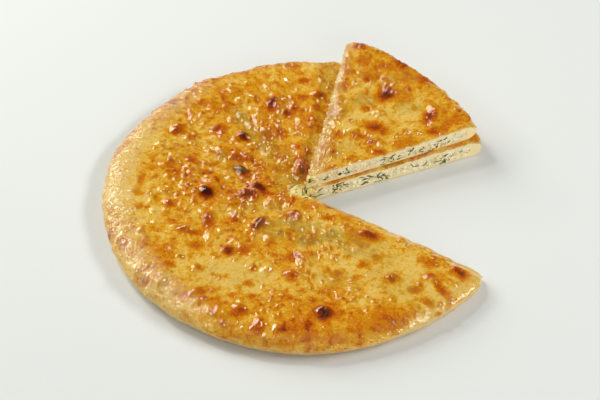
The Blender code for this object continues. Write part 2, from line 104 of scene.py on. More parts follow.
# Browned places: x, y, length, width, direction, how dark (0.35 orange, 0.6 brown, 1 black)
PIE_SPOTS = (
    (-52, 21, 13, 6, -45, 1.0), (-78, -6, 12, 10, 80, 0.95), (-52, 61, 8, 7, 0, 0.84),
    (15, -131, 13, 11, 0, 0.84), (-36, -1, 14, 6, -35, 0.82), (-46, -8, 12, 9, 20, 0.78),
    (-36, -40, 12, 7, 60, 0.8), (-30, 102, 14, 8, 90, 0.8), (-18, 90, 6, 6, 0, 0.76),
    (49, -48, 12, 8, -20, 0.74), (116, -84, 10, 7, -30, 0.74), (-58, -68, 7, 6, 0, 0.74),
    (-118, -100, 7, 6, 0, 0.7), (-3, 22, 14, 9, 80, 0.72), (-4, 33, 8, 6, 0, 0.68),
    (17, -15, 7, 6, 0, 0.68), (-150, -51, 7, 5, 90, 0.7), (-55, 35, 10, 9, 40, 0.66),
    (-91, 30, 7, 6, 0, 0.62), (-79, 17, 8, 5, 0, 0.64), (-103, 18, 10, 4, 10, 0.58),
    (-106, 66, 10, 7, 20, 0.66), (-93, 59, 5, 4, 0, 0.6), (-72, 69, 10, 8, 40, 0.66),
    (-98, 86, 6, 4, 90, 0.6), (-113, 102, 7, 5, 45, 0.62), (-33, 60, 9, 7, 0, 0.64),
    (-22, 66, 7, 6, 0, 0.62), (-12, 96, 8, 6, 60, 0.64), (9, 113, 8, 6, 0, 0.64),
    (-4, 111, 8, 6, 0, 0.62), (9, 98, 7, 5, 0, 0.6), (-3, 130, 8, 5, 0, 0.62),
    (-12, 147, 7, 5, 0, 0.6), (-44, 82, 4, 3, 0, 0.6), (-79, 83, 4, 3, 0, 0.58),
    (-3, 73, 12, 9, 0, 0.48), (0, 46, 6, 5, 0, 0.58), (-19, 37, 8, 5, 0, 0.6),
    (-21, 24, 14, 5, -20, 0.6), (-75, -37, 14, 7, 90, 0.64), (-95, -47, 7, 5, 0, 0.6),
    (-84, -50, 12, 4, 0, 0.6), (-106, -20, 8, 6, 0, 0.6), (-49, -17, 6, 4, 0, 0.58),
    (-18, -9, 12, 8, 0, 0.5), (-9, -28, 8, 6, 0, 0.64), (3, -16, 10, 8, 0, 0.48),
    (18, -30, 7, 5, 0, 0.6), (31, -27, 9, 7, 0, 0.48), (5, -54, 8, 4, 80, 0.58),
    (38, -49, 10, 8, 0, 0.5), (42, -58, 5, 4, 0, 0.58), (-46, -68, 8, 6, 0, 0.62),
    (-83, -63, 8, 6, 0, 0.6), (-102, -85, 6, 5, 0, 0.6), (-105, -66, 8, 6, 0, 0.52),
    (-103, -75, 8, 6, 0, 0.52), (-79, -87, 5, 4, 0, 0.56), (-137, -62, 5, 4, 0, 0.6),
    (-77, -112, 7, 5, 0, 0.6), (-86, -115, 7, 5, 0, 0.6), (-74, -120, 6, 5, 0, 0.58),
    (-53, -115, 5, 4, 0, 0.58), (-42, -101, 5, 4, 0, 0.56), (-38, -115, 5, 4, 0, 0.58),
    (-47, -131, 10, 7, 0, 0.64), (-32, -143, 10, 7, 60, 0.62), (-12, -156, 12, 6, 0, 0.5),
    (-10, -73, 8, 7, 0, 0.62), (-10, -93, 8, 7, 0, 0.62), (-12, -115, 6, 5, 0, 0.58),
    (24, -90, 5, 4, 0, 0.58), (44, -80, 6, 5, 0, 0.6), (53, -72, 4, 4, 0, 0.56),
    (65, -94, 7, 6, 0, 0.66), (93, -92, 7, 5, 0, 0.62), (82, -105, 6, 5, 0, 0.62),
    (90, -116, 5, 4, 0, 0.58), (101, -102, 14, 5, -60, 0.62), (95, -75, 8, 6, 0, 0.6),
    (28, -130, 5, 4, 0, 0.58), (20, -121, 9, 4, 0, 0.62), (12, -109, 5, 4, 0, 0.56),
    (59, -134, 18, 12, 20, 0.52), (74, -128, 5, 4, 0, 0.56), (34, -144, 6, 4, 0, 0.56),
    (22, -151, 14, 5, 0, 0.5), (-130, 7, 8, 4, 80, 0.56), (-123, 21, 5, 4, 0, 0.5),
    (-131, -9, 5, 4, 0, 0.5), (-117, -14, 5, 4, 0, 0.5), (-129, -25, 5, 4, 0, 0.5),
    (-104, -38, 5, 4, 0, 0.5), (-70, 106, 22, 5, -70, 0.5), (-111, 99, 10, 6, 45, 0.66),
    (-121, 97, 7, 5, 45, 0.62), (-129, 90, 8, 5, 50, 0.56), (-144, 66, 9, 6, 60, 0.58),
    (-146, 49, 7, 5, 70, 0.58), (-153, 40, 8, 5, 75, 0.56), (-136, -63, 8, 6, -60, 0.6),
)
LIFTED_SPOTS = (
    (64, 101, 12, 10, 60, 0.84), (55, 62, 14, 8, -20, 0.74), (99, 75, 13, 8, 70, 0.76),
    (101, 59, 9, 5, 0, 0.68), (76, 136, 11, 8, -30, 0.72), (43, 151, 10, 6, 10, 0.74),
    (95, 117, 10, 7, -40, 0.68), (57, 35, 9, 6, 0, 0.66), (19, 13, 7, 5, 30, 0.62),
    (20, 82, 6, 8, 0, 0.66), (42, 52, 9, 6, 0, 0.62), (25, 54, 7, 6, 0, 0.6),
    (52, 46, 7, 5, 0, 0.62), (79, 45, 14, 9, 20, 0.52), (77, 99, 12, 9, 0, 0.5),
    (118, 70, 12, 9, 40, 0.54), (46, 134, 9, 7, 0, 0.56), (65, 129, 12, 6, -20, 0.56),
    (47, 85, 5, 4, 0, 0.6), (110, 62, 7, 5, 0, 0.58), (31, 110, 5, 7, 0, 0.54),
)
# Places where the dough is thin and the herbs show through: x, y, length, width, direction, strength
PIE_THIN = (
    (-15, -43, 46, 24, 10, 0.9), (12, -50, 44, 18, 15, 1.0), (40, -62, 60, 22, -25, 0.8),
    (-10, 8, 34, 26, 0, 0.6), (-60, -95, 60, 30, 0, 0.35), (70, -100, 60, 30, -40, 0.45),
    (-100, 45, 40, 22, 60, 0.3), (20, -95, 40, 22, 0, 0.5), (-45, 70, 60, 14, -60, 0.7),
    (-26, 50, 52, 14, -50, 0.8), (-62, 30, 40, 12, -40, 0.5), (-20, 104, 44, 12, 80, 0.4),
)
LIFTED_THIN = (
    (44, 94, 22, 16, 30, 0.8), (26, 80, 26, 14, 70, 0.8), (85, 88, 30, 16, 0, 0.5),
    (30, 40, 30, 14, 50, 0.5), (85, 120, 24, 14, -30, 0.4),
)

# Places that differ in tone: x, y, length, width, direction, shift (paler below 0, more amber above)
PIE_ZONES = (
    (-55, -92, 84, 32, -8, -0.16), (-128, 52, 44, 30, 65, -0.12), (-134, -8, 60, 28, 95, -0.1),
    (66, -92, 110, 46, -38, -0.13), (0, -112, 60, 26, 0, 0.02), (-112, -78, 62, 26, -58, 0.1),
    (-60, -5, 90, 60, 0, 0.07), (-20, 75, 90, 90, 0, 0.08), (22, -138, 70, 26, 5, 0.16),
    (-60, 112, 70, 26, 38, 0.07), (-14, -150, 70, 18, 0, 0.14), (-100, 28, 44, 60, 0, 0.05),
    (62, -132, 34, 20, 20, 0.12), (-40, -60, 50, 26, 0, 0.05), (-30, -118, 90, 20, -5, 0.06),
    (112, -108, 90, 18, 52, -0.2), (80, -140, 60, 14, 30, -0.16),
)
LIFTED_ZONES = (
    (96, 104, 80, 26, -50, 0.08), (52, 132, 50, 34, -15, 0.08), (62, 76, 70, 26, 45, -0.1),
    (36, 62, 60, 22, 60, -0.08), (112, 66, 40, 26, 30, 0.1), (80, 46, 60, 12, 25, 0.06),
)
LOWER_SPOTS = (
    (46, 24, 12, 7, 24, 0.5), (70, 35, 10, 6, 24, 0.44), (92, 44, 14, 7, 24, 0.54),
    (120, 58, 12, 7, 24, 0.46), (24, 14, 10, 6, 24, 0.48), (140, 68, 10, 7, 40, 0.5),
)
# painted light: the lower slice's top made paler where the lifted slice shades it
LOWER_PAINTED_LIGHT = ((75, 40, 220, 90, 24, -0.24),)
# Creases in the dough: x and y of both ends, width, depth
PIE_CREASES = (
    (-62, 92, -34, 44, 4.5, 1.3), (0, -60, 24, -48, 3.5, 1.6), (-8, 12, -30, 34, 5.0, 1.6),
    (-34, 44, -20, 14, 5.0, 1.2), (24, -48, 60, -58, 4.0, 0.8), (-20, -18, -62, -24, 5.0, 1.0),
    (-14, -34, 8, -38, 5.0, 1.2),
)
# Smooth places: x, y, length, width, direction, how smooth
SMOOTH_PLACES = (
    (-55, -92, 86, 34, -8, 0.5), (-130, 40, 90, 34, 80, 0.5), (68, -94, 120, 50, -38, 0.2),
    (-60, 128, 90, 22, 35, 0.4),
)

# Stretches of the rim: first angle, how soft it starts, last angle, how soft it ends
LEFT_RIM = (112, 26, 252, 26)
WIDE_RIM = (112, 34, 338, 36)
# paler over this stretch: a painted highlight band on the left rim
PAINTED_HIGHLIGHT_LEFT_RIM = (138, 20, 246, 20)
BROWN_BACK_RIM = (92, 16, 182, 14)
CREASED_FRONT_RIM = (236, 20, 300, 20)
BARE_FRONT_RIM = (288, 16, 326, 8)

# Mesh of the pieces
RING_STEP = 1.24                # mm between rings over the top
RIM_RINGS = 18                  # rings over the rounded top of the rim
UNDER_RINGS = 9                 # and under it
UNDER_ARC = 13.0                # mm over the rounding under the rim
RIM_ARC_SHARE = 1.12            # length over the rim's rounded top, as a share of its width
RIM_ARC_MORE = 3.2              # and mm more
# Rings over the base and over the hollow's floor and roof, as shares of the radius
BASE_SHARES = (0.86, 0.68, 0.5, 0.34, 0.2, 0.08, 0.0)
FLOOR_SHARES = (0.0, 0.1, 0.3, 0.5, 0.7, 0.88, 1.0)
# Rings round the corners of the hollow and of the filling in it
HOLLOW_TURNS = (30.0, 60.0, 90.0)
FILLING_TURNS = (15.0, 32.0, 50.0, 70.0, 90.0)
DEEPEST_DIP = 1.2               # mm that the fine relief goes in at most
ABOVE_FLOOR = 0.02              # mm that the relief stays above what carries the pie
WELD_DISTANCE = 0.000002        # m
GRAIN_CELLS = 128               # cells of a grain before it repeats
CURD_STEP = 0.62                # mm between points on the filling's cut faces
CURD_ROWS = 16                  # rows of points from its floor to its roof
FILLING_HEIGHT = 9.0            # mm at the cuts, about
STRANDS_AT_CUT = 56
STRANDS_IN_VENT = 20
STRAND_PARTS = (-0.5, -0.25, 0.0, 0.25, 0.5)    # points along a strand, from its middle
CRUMBS_AT_CUT = 120


@dataclass
class Sector:
    """A part of the pie between two cuts, worked out about its own apex."""
    name: str
    cuts: tuple             # directions of both cuts
    flat: float             # height near the apex
    reach: tuple            # radius at the first cut, halfway and at the last cut
    rise: object            # how much higher the rim is, by angle
    round: object           # how wide the rim's rounded top is, by angle
    under: object           # what it lies on, by place
    sag: tuple              # how far the top sags at each cut
    cover: object           # how much of the large blisters shows, by place
    spots: tuple
    zones: tuple
    columns: int            # columns of mesh between the cuts
    seed: int
    apex: tuple = (0.0, 0.0)
    tear: float = 0.0       # how far the opening at the apex is torn, 0 where there is none
    lumps: tuple = ()
    corner: float = SLICE_CORNER
    thin: tuple = ()
    pale_cut: float = 0.0   # how pale the dough is along the last cut
    bubbles: int = 0


@dataclass
class Surface:
    """The crust's points by ring and column, with their finish."""
    places: object
    inside: object
    crease_place: object
    finish: dict


# ---------------------------------------------------------------- shape of the pie

def smooth(value):
    value = np.clip(value, 0.0, 1.0)
    return value * value * (3.0 - 2.0 * value)


def bell(offset, width):
    return np.exp(-(offset / width) ** 2)


def window(angle, start, rise, end, fall):
    """1 between two angles, with a soft rise from the start on and a soft fall up to the end."""
    return smooth((angle - start) / rise) * smooth((end - angle) / fall)


def nowhere(x, y):
    return np.zeros_like(x)


def everywhere(x, y):
    return np.ones_like(x)


def polar(sector, x, y):
    """Radius and angle about the sector's apex, the angle within half a turn of its middle."""
    dx, dy = x - sector.apex[0], y - sector.apex[1]
    angle = np.degrees(np.arctan2(dy, dx))
    middle = sum(sector.cuts) / 2
    return np.hypot(dx, dy), angle + 360.0 * np.round((middle - angle) / 360.0)


def place(sector, radius, angle):
    turn = np.radians(angle)
    return sector.apex[0] + radius * np.cos(turn), sector.apex[1] + radius * np.sin(turn)


def pie_rise(angle):
    """How much higher the pie's rim is than its middle."""
    from_front = angle - CUT_FRONT - 360
    return 3.0 + 3.3 * bell(angle - 82, 26) - 1.4 * bell(from_front, 22) \
        - LOW_CORNER * bell(from_front, 9) - 1.2 * bell(angle - CUT_RIGHT, 20)


def pie_round(angle):
    return RIM_TOP_ROUND + SOFT_RIM * window(angle, *WIDE_RIM)


def slice_round(angle):
    return np.full_like(angle, RIM_TOP_ROUND)


def lifted_rise(angle):
    """How much higher the lifted slice's rim is than its tip."""
    return 1.8 + 6.4 * smooth((angle - 42) / 34)


def even_radius(sector, angle):
    """The outline's radius without its unevenness: a curve through the three of its reach."""
    first, last = sector.cuts
    part = (angle - first) / (last - first)
    low, middle, high = sector.reach
    return low + (high - low) * part + 4 * (middle - (low + high) / 2) * part * (1 - part)


def rim_ramp(radius, reach):
    """0 near the apex and 1 at the rim, in two soft steps."""
    return 0.5 * smooth((radius - 55) / (reach - 65)) + 0.5 * smooth((radius - 112) / (reach - 124))


def edge_radius(sector, angle):
    """The outline's radius, a little uneven and rounded at both corners."""
    first, last = sector.cuts
    radius = even_radius(sector, angle)
    radius = radius + 0.8 * np.sin(np.radians(3 * angle + 40)) + 0.5 * np.sin(np.radians(7 * angle))
    radius = radius - 2.2 * bell(angle - 114, 10)
    drop = bell(angle - first, CORNER_WIDTH) + bell(angle - last, CORNER_WIDTH)
    return radius - sector.corner * drop


def vent_radius(sector, angle):
    return VENT_RADIUS + sector.tear * bell(angle - TEAR_DIRECTION, 48)


def cut_distance(sector, radius, angle, which):
    """Distance from the first or last cut, mm."""
    turn = np.radians(np.abs(angle - sector.cuts[which]))
    return np.where(turn > np.pi / 2, radius, radius * np.sin(turn))


def body_height(sector, radius, angle):
    """Thickness from the base to the top, sagging towards both cuts."""
    height = sector.flat + sector.rise(angle) * rim_ramp(radius, even_radius(sector, angle))
    for which in (0, 1):
        height = height - sector.sag[which] * bell(cut_distance(sector, radius, angle, which), SAG_WIDTH)
    return height


def ellipse_distance(x, y, cx, cy, length, width, direction):
    """1 on the edge of an ellipse about cx, cy and 0 at its middle."""
    turn = math.radians(direction)
    dx, dy = x - cx, y - cy
    along = dx * math.cos(turn) + dy * math.sin(turn)
    across = dy * math.cos(turn) - dx * math.sin(turn)
    return np.hypot(along / length, across / width) * 2


def lump_height(sector, x, y, inset):
    """The large blisters and lumps, none at the very edge."""
    total = np.zeros_like(x)
    for cx, cy, length, width, height, direction in sector.lumps:
        distance = ellipse_distance(x, y, cx, cy, length, width, direction)
        total = np.maximum(total, LUMP_SCALE * height * smooth(1 - distance / LUMP_REACH))
    return total * smooth(inset / 12) * sector.cover(x, y)


def carried_height(x, y):
    """What the lifted slice lies on: the lower slice's top and a small clearance."""
    radius = np.hypot(x, y)
    angle = np.degrees(np.arctan2(y, x))
    return FLAT_HEIGHT + pie_rise(angle) * rim_ramp(radius, RADIUS) + CLEARANCE


def beside_lifted(x, y):
    """0 under the lifted slice and close beside it, 1 away from it."""
    turn = math.radians(LIFTED_CUTS[1])
    dx, dy = x - LIFTED_APEX[0], y - LIFTED_APEX[1]
    ahead = dx * math.cos(turn) + dy * math.sin(turn)
    left = dy * math.cos(turn) - dx * math.sin(turn)
    return np.where(ahead < 0, smooth((np.hypot(dx, dy) - 4) / 6), smooth((left - 4) / 6))


def scattered_lumps(draw):
    """Small lumps at random: x, y, length, width, height, direction."""
    lumps = []
    while len(lumps) < SMALL_LUMPS:
        angle = draw.uniform(CUT_BACK + 5, 360 + CUT_FRONT - 5)
        radius = math.sqrt(draw.uniform(0.04, 0.76)) * RADIUS
        if angle > 230 and draw.random() < 0.55:
            continue
        x = radius * math.cos(math.radians(angle))
        y = radius * math.sin(math.radians(angle))
        size = draw.uniform(8, 14), draw.uniform(6, 9), draw.uniform(1.0, 2.0)
        lumps.append((x, y, *size, draw.uniform(30, 110)))
    return tuple(lumps)


# ---------------------------------------------------------------- fine relief of baked dough

@lru_cache(maxsize=None)
def slopes(seed):
    turns = np.random.RandomState(seed).uniform(0, 2 * np.pi, (GRAIN_CELLS, GRAIN_CELLS))
    return np.cos(turns), np.sin(turns)


@lru_cache(maxsize=None)
def shifts(seed):
    return np.random.RandomState(seed).uniform(0.15, 0.85, (GRAIN_CELLS, GRAIN_CELLS, 2))


def grain(x, y, size, seed):
    """Smooth random relief between about -1 and 1, with features about as wide as size."""
    slope_x, slope_y = slopes(seed)
    u, v = x / size + 1000.0, y / size + 1000.0
    iu, iv = np.floor(u).astype(int), np.floor(v).astype(int)
    fu, fv = u - iu, v - iv

    def corner(du, dv):
        cu, cv = (iu + du) % GRAIN_CELLS, (iv + dv) % GRAIN_CELLS
        return slope_x[cu, cv] * (fu - du) + slope_y[cu, cv] * (fv - dv)

    wu = fu ** 3 * (fu * (fu * 6 - 15) + 10)
    wv = fv ** 3 * (fv * (fv * 6 - 15) + 10)
    near = corner(0, 0) * (1 - wu) + corner(1, 0) * wu
    far = corner(0, 1) * (1 - wu) + corner(1, 1) * wu
    return 1.5 * (near * (1 - wv) + far * wv)


def warped(x, y, layers, seed):
    """Places shifted about by soft grain, so that outlines run unevenly; layers are size and reach."""
    bent_x, bent_y = x, y
    for number, (size, reach) in enumerate(layers):
        bent_x = bent_x + reach * grain(x, y, size, seed + number)
        bent_y = bent_y + reach * grain(x, y, size, seed + len(layers) + number)
    return bent_x, bent_y


def curds(x, y, size, seed):
    """1 on the middle of each curd, falling to 0 in the cracks between them."""
    shift = shifts(seed)
    u, v = x / size + 1000.0, y / size + 1000.0
    iu, iv = np.floor(u).astype(int), np.floor(v).astype(int)
    nearest = np.full_like(u, 9.0)
    for du in (-1, 0, 1):
        for dv in (-1, 0, 1):
            spot = shift[(iu + du) % GRAIN_CELLS, (iv + dv) % GRAIN_CELLS]
            distance = np.hypot(iu + du + spot[..., 0] - u, iv + dv + spot[..., 1] - v)
            nearest = np.minimum(nearest, distance)
    return 1 - np.minimum(nearest, 1.0) ** 2


def blistered(x, y):
    """1 over the back left of the pie, where the dough blistered most."""
    return smooth(1.35 - ellipse_distance(x, y, -50, 45, 150, 190, 20))


def roughness_of(sector, x, y):
    """How lumpy the dough is: 1 where it blistered, less over its smooth places."""
    if not sector.tear:
        radius, angle = polar(sector, x, y)
        return 0.6 + 0.7 * smooth(1.4 - cut_distance(sector, radius, angle, 1) / 9)
    rough = 0.45 + 0.55 * blistered(x, y)
    for *ellipse, calm in SMOOTH_PLACES:
        distance = ellipse_distance(x, y, *ellipse)
        rough = rough * (1 - calm * smooth((1.5 - distance) / 1.0))
    return rough


def make_bubbles(sector):
    """Small blisters in clusters: x, y, length, width, height, direction, how brown."""
    draw = random.Random(sector.seed)
    bubbles = []
    while len(bubbles) < sector.bubbles:
        angle = draw.uniform(*sector.cuts)
        radius = math.sqrt(draw.uniform(0.006, 0.93)) * RADIUS
        cx, cy = place(sector, radius, angle)
        rough = float(roughness_of(sector, np.array([cx]), np.array([cy]))[0])
        if draw.random() > rough ** 1.3:
            continue
        spread = draw.uniform(3, 9)
        warm = draw.uniform(0.25, 0.4)
        for _ in range(draw.choice((1, 2, 4, 7, 11))):
            x, y = cx + draw.gauss(0, spread * 0.7), cy + draw.gauss(0, spread)
            width = 1.6 + 2.6 * draw.random() ** 2.2
            length = width * draw.uniform(1.0, 1.8)
            brown = draw.random()
            tone = warm
            if brown >= 0.93:
                tone = draw.uniform(0.48, 0.6)
            elif brown >= 0.66:
                tone = draw.uniform(0.36, 0.47)
            rise = width * draw.uniform(0.27, 0.56)
            bubbles.append((x, y, length, width, rise, draw.gauss(75, 40), tone))
    return bubbles


def near_points(x, y, cx, cy, reach):
    return np.nonzero((np.abs(x - cx) < reach) & (np.abs(y - cy) < reach))


def small_blisters(sector, x, y):
    """Relief and browning of the small blisters."""
    height, tone = np.zeros_like(x), np.zeros_like(x)
    bent_x, bent_y = warped(x, y, ((4.5, 1.3), (2.3, 0.5)), sector.seed + 60)
    for cx, cy, length, width, rise, direction, brown in make_bubbles(sector):
        near = near_points(x, y, cx, cy, 1.2 * length + 1.5)
        distance = ellipse_distance(bent_x[near], bent_y[near], cx, cy, length, width, direction)
        dome = np.clip(1 - (distance / 1.2) ** 2, 0, 1) ** 1.15
        height[near] = np.maximum(height[near], rise * dome)
        tone[near] = np.maximum(tone[near], brown * smooth((2.2 - distance) / 1.9))
    return height, tone


def clusters(sector, x, y):
    """Rounded bumps in clusters, mm high, and how much of the dough is bumpy there."""
    seed, rough = sector.seed, roughness_of(sector, x, y)
    wx, wy = warped(x, y, ((9, 2.2),), seed + 13)
    broad = rough * smooth((grain(x, y, 24, seed + 15) + 0.25) / 0.55)
    middle = rough * smooth((grain(x, y, 14, seed + 16) + 0.2) / 0.5)
    large = curds(wx, wy, 10.5, seed + 17) - 0.45
    small = curds(wx, wy, 5.6, seed + 18) - 0.4
    finest = curds(wx, wy, 3.2, seed + 19) - 0.4
    height = 3.4 * broad * large + 2.1 * middle * small + 0.85 * (0.35 + 0.65 * middle) * finest
    return height, np.clip(broad * large + 0.6 * middle * small, -0.5, 0.9)


def fold_depth(sector, x, y):
    """Depth of the folds in the large part's dough, mm."""
    total = np.zeros_like(x)
    if not sector.tear:
        return total
    wander = 1.5 * grain(x, y, 8, sector.seed + 11)
    for x1, y1, x2, y2, width, depth in PIE_CREASES:
        part = ((x - x1) * (x2 - x1) + (y - y1) * (y2 - y1)) / ((x2 - x1) ** 2 + (y2 - y1) ** 2)
        part = np.clip(part, 0, 1)
        away = np.hypot(x - x1 - part * (x2 - x1), y - y1 - part * (y2 - y1))
        total = np.maximum(total, depth * bell(away + wander, width))
    return total


def top_relief(sector, x, y):
    """Relief finer than the lumps, mm: soft waves, bumps, wrinkles and folds."""
    rough = roughness_of(sector, x, y)
    seed = sector.seed
    waves = 0.7 * grain(x, y, 29, seed + 1) + (0.2 + 0.5 * rough) * grain(x, y, 14, seed + 2)
    fine = rough * (0.3 * grain(x, y, 7.5, seed + 3) + 0.1 * grain(x, y, 3.6, seed + 4))
    bent = warped(x, y, ((17, 3.0),), seed + 5)
    wrinkles = -0.5 * rough * (1 - np.abs(grain(*bent, 13, seed + 7))) ** 8
    return waves + fine + wrinkles + clusters(sector, x, y)[0] - fold_depth(sector, x, y)


def rim_puckers(sector, angle, edge_distance):
    """Shallow folds across the rim, mm."""
    along = np.radians(angle) * RADIUS + 0.6 * edge_distance
    along = along + 2.5 * grain(along, edge_distance, 11, sector.seed + 54)
    across = edge_distance * 0.45
    folds = grain(along, across, 7.5, sector.seed + 55) + 0.6 * grain(along, across, 4.2, sector.seed + 56)
    uneven = 0.6 + 0.6 * grain(along, 0 * along, 27, sector.seed + 57)
    depth = 0.45 - 0.28 * window(angle, *LEFT_RIM)
    return depth * folds * uneven * smooth(1.3 - np.abs(edge_distance - 8) / 14)


def creases(sector, radius, angle, edge_distance):
    """Where the dough is finely creased (0 to 1), a band that also gets a painted highlight, with places
    along and across the creases.
    """
    if not sector.tear:
        away = cut_distance(sector, radius, angle, 1)
        return 0.4 * smooth(1.35 - away / 9) * (sector.pale_cut > 0), radius, away
    left = window(angle, *LEFT_RIM)
    right = 0.3 * smooth((angle - 286) / 14)
    front = 0.3 * window(angle, *CREASED_FRONT_RIM)
    back = 0.35 * smooth((122 - angle) / 14)
    reach = 9 + 7 * left
    band = smooth(1.35 - np.abs(edge_distance - reach) / (2 + reach * 0.8))
    along = np.radians(angle) * RADIUS + 0.6 * edge_distance
    return band * np.clip(left + right + front + back, 0, 1), along, edge_distance


def browning(sector, x, y, angle, edge_distance, bubble_tone):
    """How dark the dough is baked: 0 pale, 0.3 golden, 0.5 orange, 0.7 brown, 1 black."""
    seed = sector.seed
    wx, wy = warped(x, y, ((6, 2.0), (2.8, 1.0)), seed + 21)
    tone = 0.13 + 0.11 * grain(x, y, 36, seed + 25) + 0.11 * grain(x, y, 15, seed + 26) \
        + 0.07 * grain(x, y, 6, seed + 27)
    for *ellipse, shift in sector.zones:
        distance = ellipse_distance(x, y, *ellipse)
        tone = tone + shift * smooth((1.6 - distance) / 1.2)
    tone = tone + 0.18 * clusters(sector, x, y)[1] - 0.1 * fold_depth(sector, x, y)
    freckles = smooth((grain(wx, wy, 7.5, seed + 28) - 0.1) / 0.6)
    tone = tone + 0.2 * freckles + 0.16 * smooth((grain(wx, wy, 3.8, seed + 33) - 0.2) / 0.3)
    if sector.tear:
        back = window(angle, *BROWN_BACK_RIM)
        tone = tone + 0.16 * back * bell(edge_distance - 8, 5) * (1 + grain(wx, wy, 7, seed + 29))
        # painted highlight: the left rim's band made paler
        tone = tone - 0.15 * window(angle, *PAINTED_HIGHLIGHT_LEFT_RIM) * bell(edge_distance - 13, 14)
    else:
        tone = tone - 0.03 + 0.06 * bell(edge_distance - 9, 7)
    tone = np.maximum(tone, bubble_tone)
    for cx, cy, length, width, direction, dark in sector.spots:
        near = near_points(x, y, cx, cy, 1.7 * length + 5)
        distance = ellipse_distance(wx[near], wy[near], cx, cy, length, width, direction)
        core = (dark - 0.5) * smooth((1.45 - distance) / 1.3)
        halo = np.minimum(0.5, 0.2 + 0.36 * dark) * smooth((2.9 - distance) / 1.9)
        tone[near] = np.maximum(tone[near], halo + core * (halo > 0.3))
    spread = 1.14 if sector.tear else 1.04
    return np.clip(0.25 + spread * (tone - 0.25), 0, 1)


def thinness_and_hollow_shade(sector, x, y):
    """How much the herbs show through the dough, 0 to 1, plus painted shade: the hollows between the bumps
    get the same darker olive.
    """
    total = np.zeros_like(x)
    for *ellipse, strength in sector.thin:
        distance = ellipse_distance(x, y, *ellipse)
        total = np.maximum(total, strength * smooth((1.4 - distance) / 1.0))
    streaks = 0.65 + 0.6 * grain(x, y, 9, sector.seed + 31) + 0.35 * grain(x, y, 4, sector.seed + 32)
    # painted shade: the hollows between the bumps take the herbs' darker olive colour
    hollow_shade = np.clip(-clusters(sector, x, y)[1] * 2.2, 0, 1)
    return np.clip(total * streaks + 0.75 * hollow_shade + 0.3 * fold_depth(sector, x, y), 0, 1)


# ---------------------------------------------------------------- crust

def crown(inset, reach):
    """A quarter circle: 0 at the edge and 1 from the reach on."""
    return np.sqrt(1 - (1 - np.clip(inset / reach, 0, 1)) ** 2)


def hollow_height(sector, radius, angle, inset, side):
    """Height of the hollow's roof (side 1) or floor (side -1)."""
    base = sector.under(*place(sector, radius, angle))
    roof = base + body_height(sector, radius, angle) - TOP_SHEET
    floor = base + BASE_SHEET
    return (roof + floor) / 2 + side * (roof - floor) / 2 * (0.25 + 0.75 * crown(inset, HOLLOW_ROUND))


def torn_vent_radius(sector, angles):
    """The ragged edge of the opening at the apex."""
    lip = 1.5 * grain(angles * 0.16, 0 * angles, 1.5, sector.seed + 40) \
        + 0.7 * grain(angles * 0.16, 0 * angles, 0.7, sector.seed + 41)
    between = window(angles, sector.cuts[0], 9, sector.cuts[1], 9)
    return vent_radius(sector, angles) + (1.0 if sector.tear else 0.4) * lip * between


def crust_rings(sector, angles):
    """Every ring of the crust: over the top, round the rim, along the base and back inside.

    Each is its kind, radius, rounding (1 flat, 0 at the outermost line) and distance along the
    surface from the pie's apex; the second result is that distance at the outermost line.
    """
    edge, vent = edge_radius(sector, angles), torn_vent_radius(sector, angles)
    reach = sector.round(angles)
    shoulder = edge - reach
    arc = shoulder + reach * RIM_ARC_SHARE + RIM_ARC_MORE
    inner = edge - RIM_DOUGH
    flat = np.ones_like(angles)
    rings = []
    for part in np.linspace(0, 1, int((RADIUS - RIM_TOP_ROUND - VENT_RADIUS) / RING_STEP)):
        radius = vent + (shoulder - vent) * part
        rings.append(("top", radius, flat, radius))
    for part in np.linspace(1, 0, RIM_RINGS + 1)[1:]:
        turn = np.radians(90 * part)
        radius = edge - reach * (1 - np.cos(turn))
        rings.append(("top", radius, np.sin(turn) * flat, arc + (shoulder - arc) * part))
    for turn in np.linspace(0, 90, UNDER_RINGS + 1)[1:]:
        radius = edge - RIM_BASE_ROUND * (1 - math.cos(math.radians(turn)))
        rings.append(("base", radius, math.sin(math.radians(turn)) * flat, arc + UNDER_ARC * turn / 90))
    corner = [inner - HOLLOW_ROUND * (1 - math.sin(math.radians(turn))) for turn in HOLLOW_TURNS]
    rings += [("base", (edge - RIM_BASE_ROUND) * share, flat, edge * 2) for share in BASE_SHARES]
    rings += [("floor", (inner - HOLLOW_ROUND) * share, flat, edge) for share in FLOOR_SHARES]
    rings += [("floor", radius, flat, edge) for radius in corner]
    rings += [("roof", radius, flat, edge) for radius in corner[::-1]]
    rings += [("roof", vent + (inner - HOLLOW_ROUND - vent) * share, flat, edge)
              for share in FLOOR_SHARES[::-1]]
    return rings, arc


def pale_dough(sector, x, y, radius, angle, edge_distance, to_cut, crease_and_painted_sheen):
    """How pale the dough is (0 to 1): under the rim, along the cuts, and as a painted highlight over the
    creased band.
    """
    seed = sector.seed
    bare = 1.5 + 2.5 * window(angle, *LEFT_RIM) + 7.0 * window(angle, *BARE_FRONT_RIM)
    pale = smooth((2.4 * grain(x, y, 11, seed + 50) - edge_distance + bare) / 6.0)
    # painted highlight: the creased band made paler
    pale = np.maximum(pale, 0.6 * crease_and_painted_sheen)
    beside = smooth(1.2 - cut_distance(sector, radius, angle, 1) / (7 + 8 * bell(radius, 60)))
    pale = np.maximum(pale, sector.pale_cut * np.maximum(beside, smooth(1.4 - radius / 13)))
    ragged = 1.8 + 1.6 * grain(x, y, 3.4, seed + 52) + 1.2 * grain(x, y, 8, seed + 53)
    return np.maximum(pale, 0.85 * smooth(1.1 - to_cut / np.maximum(ragged, 0.3)))


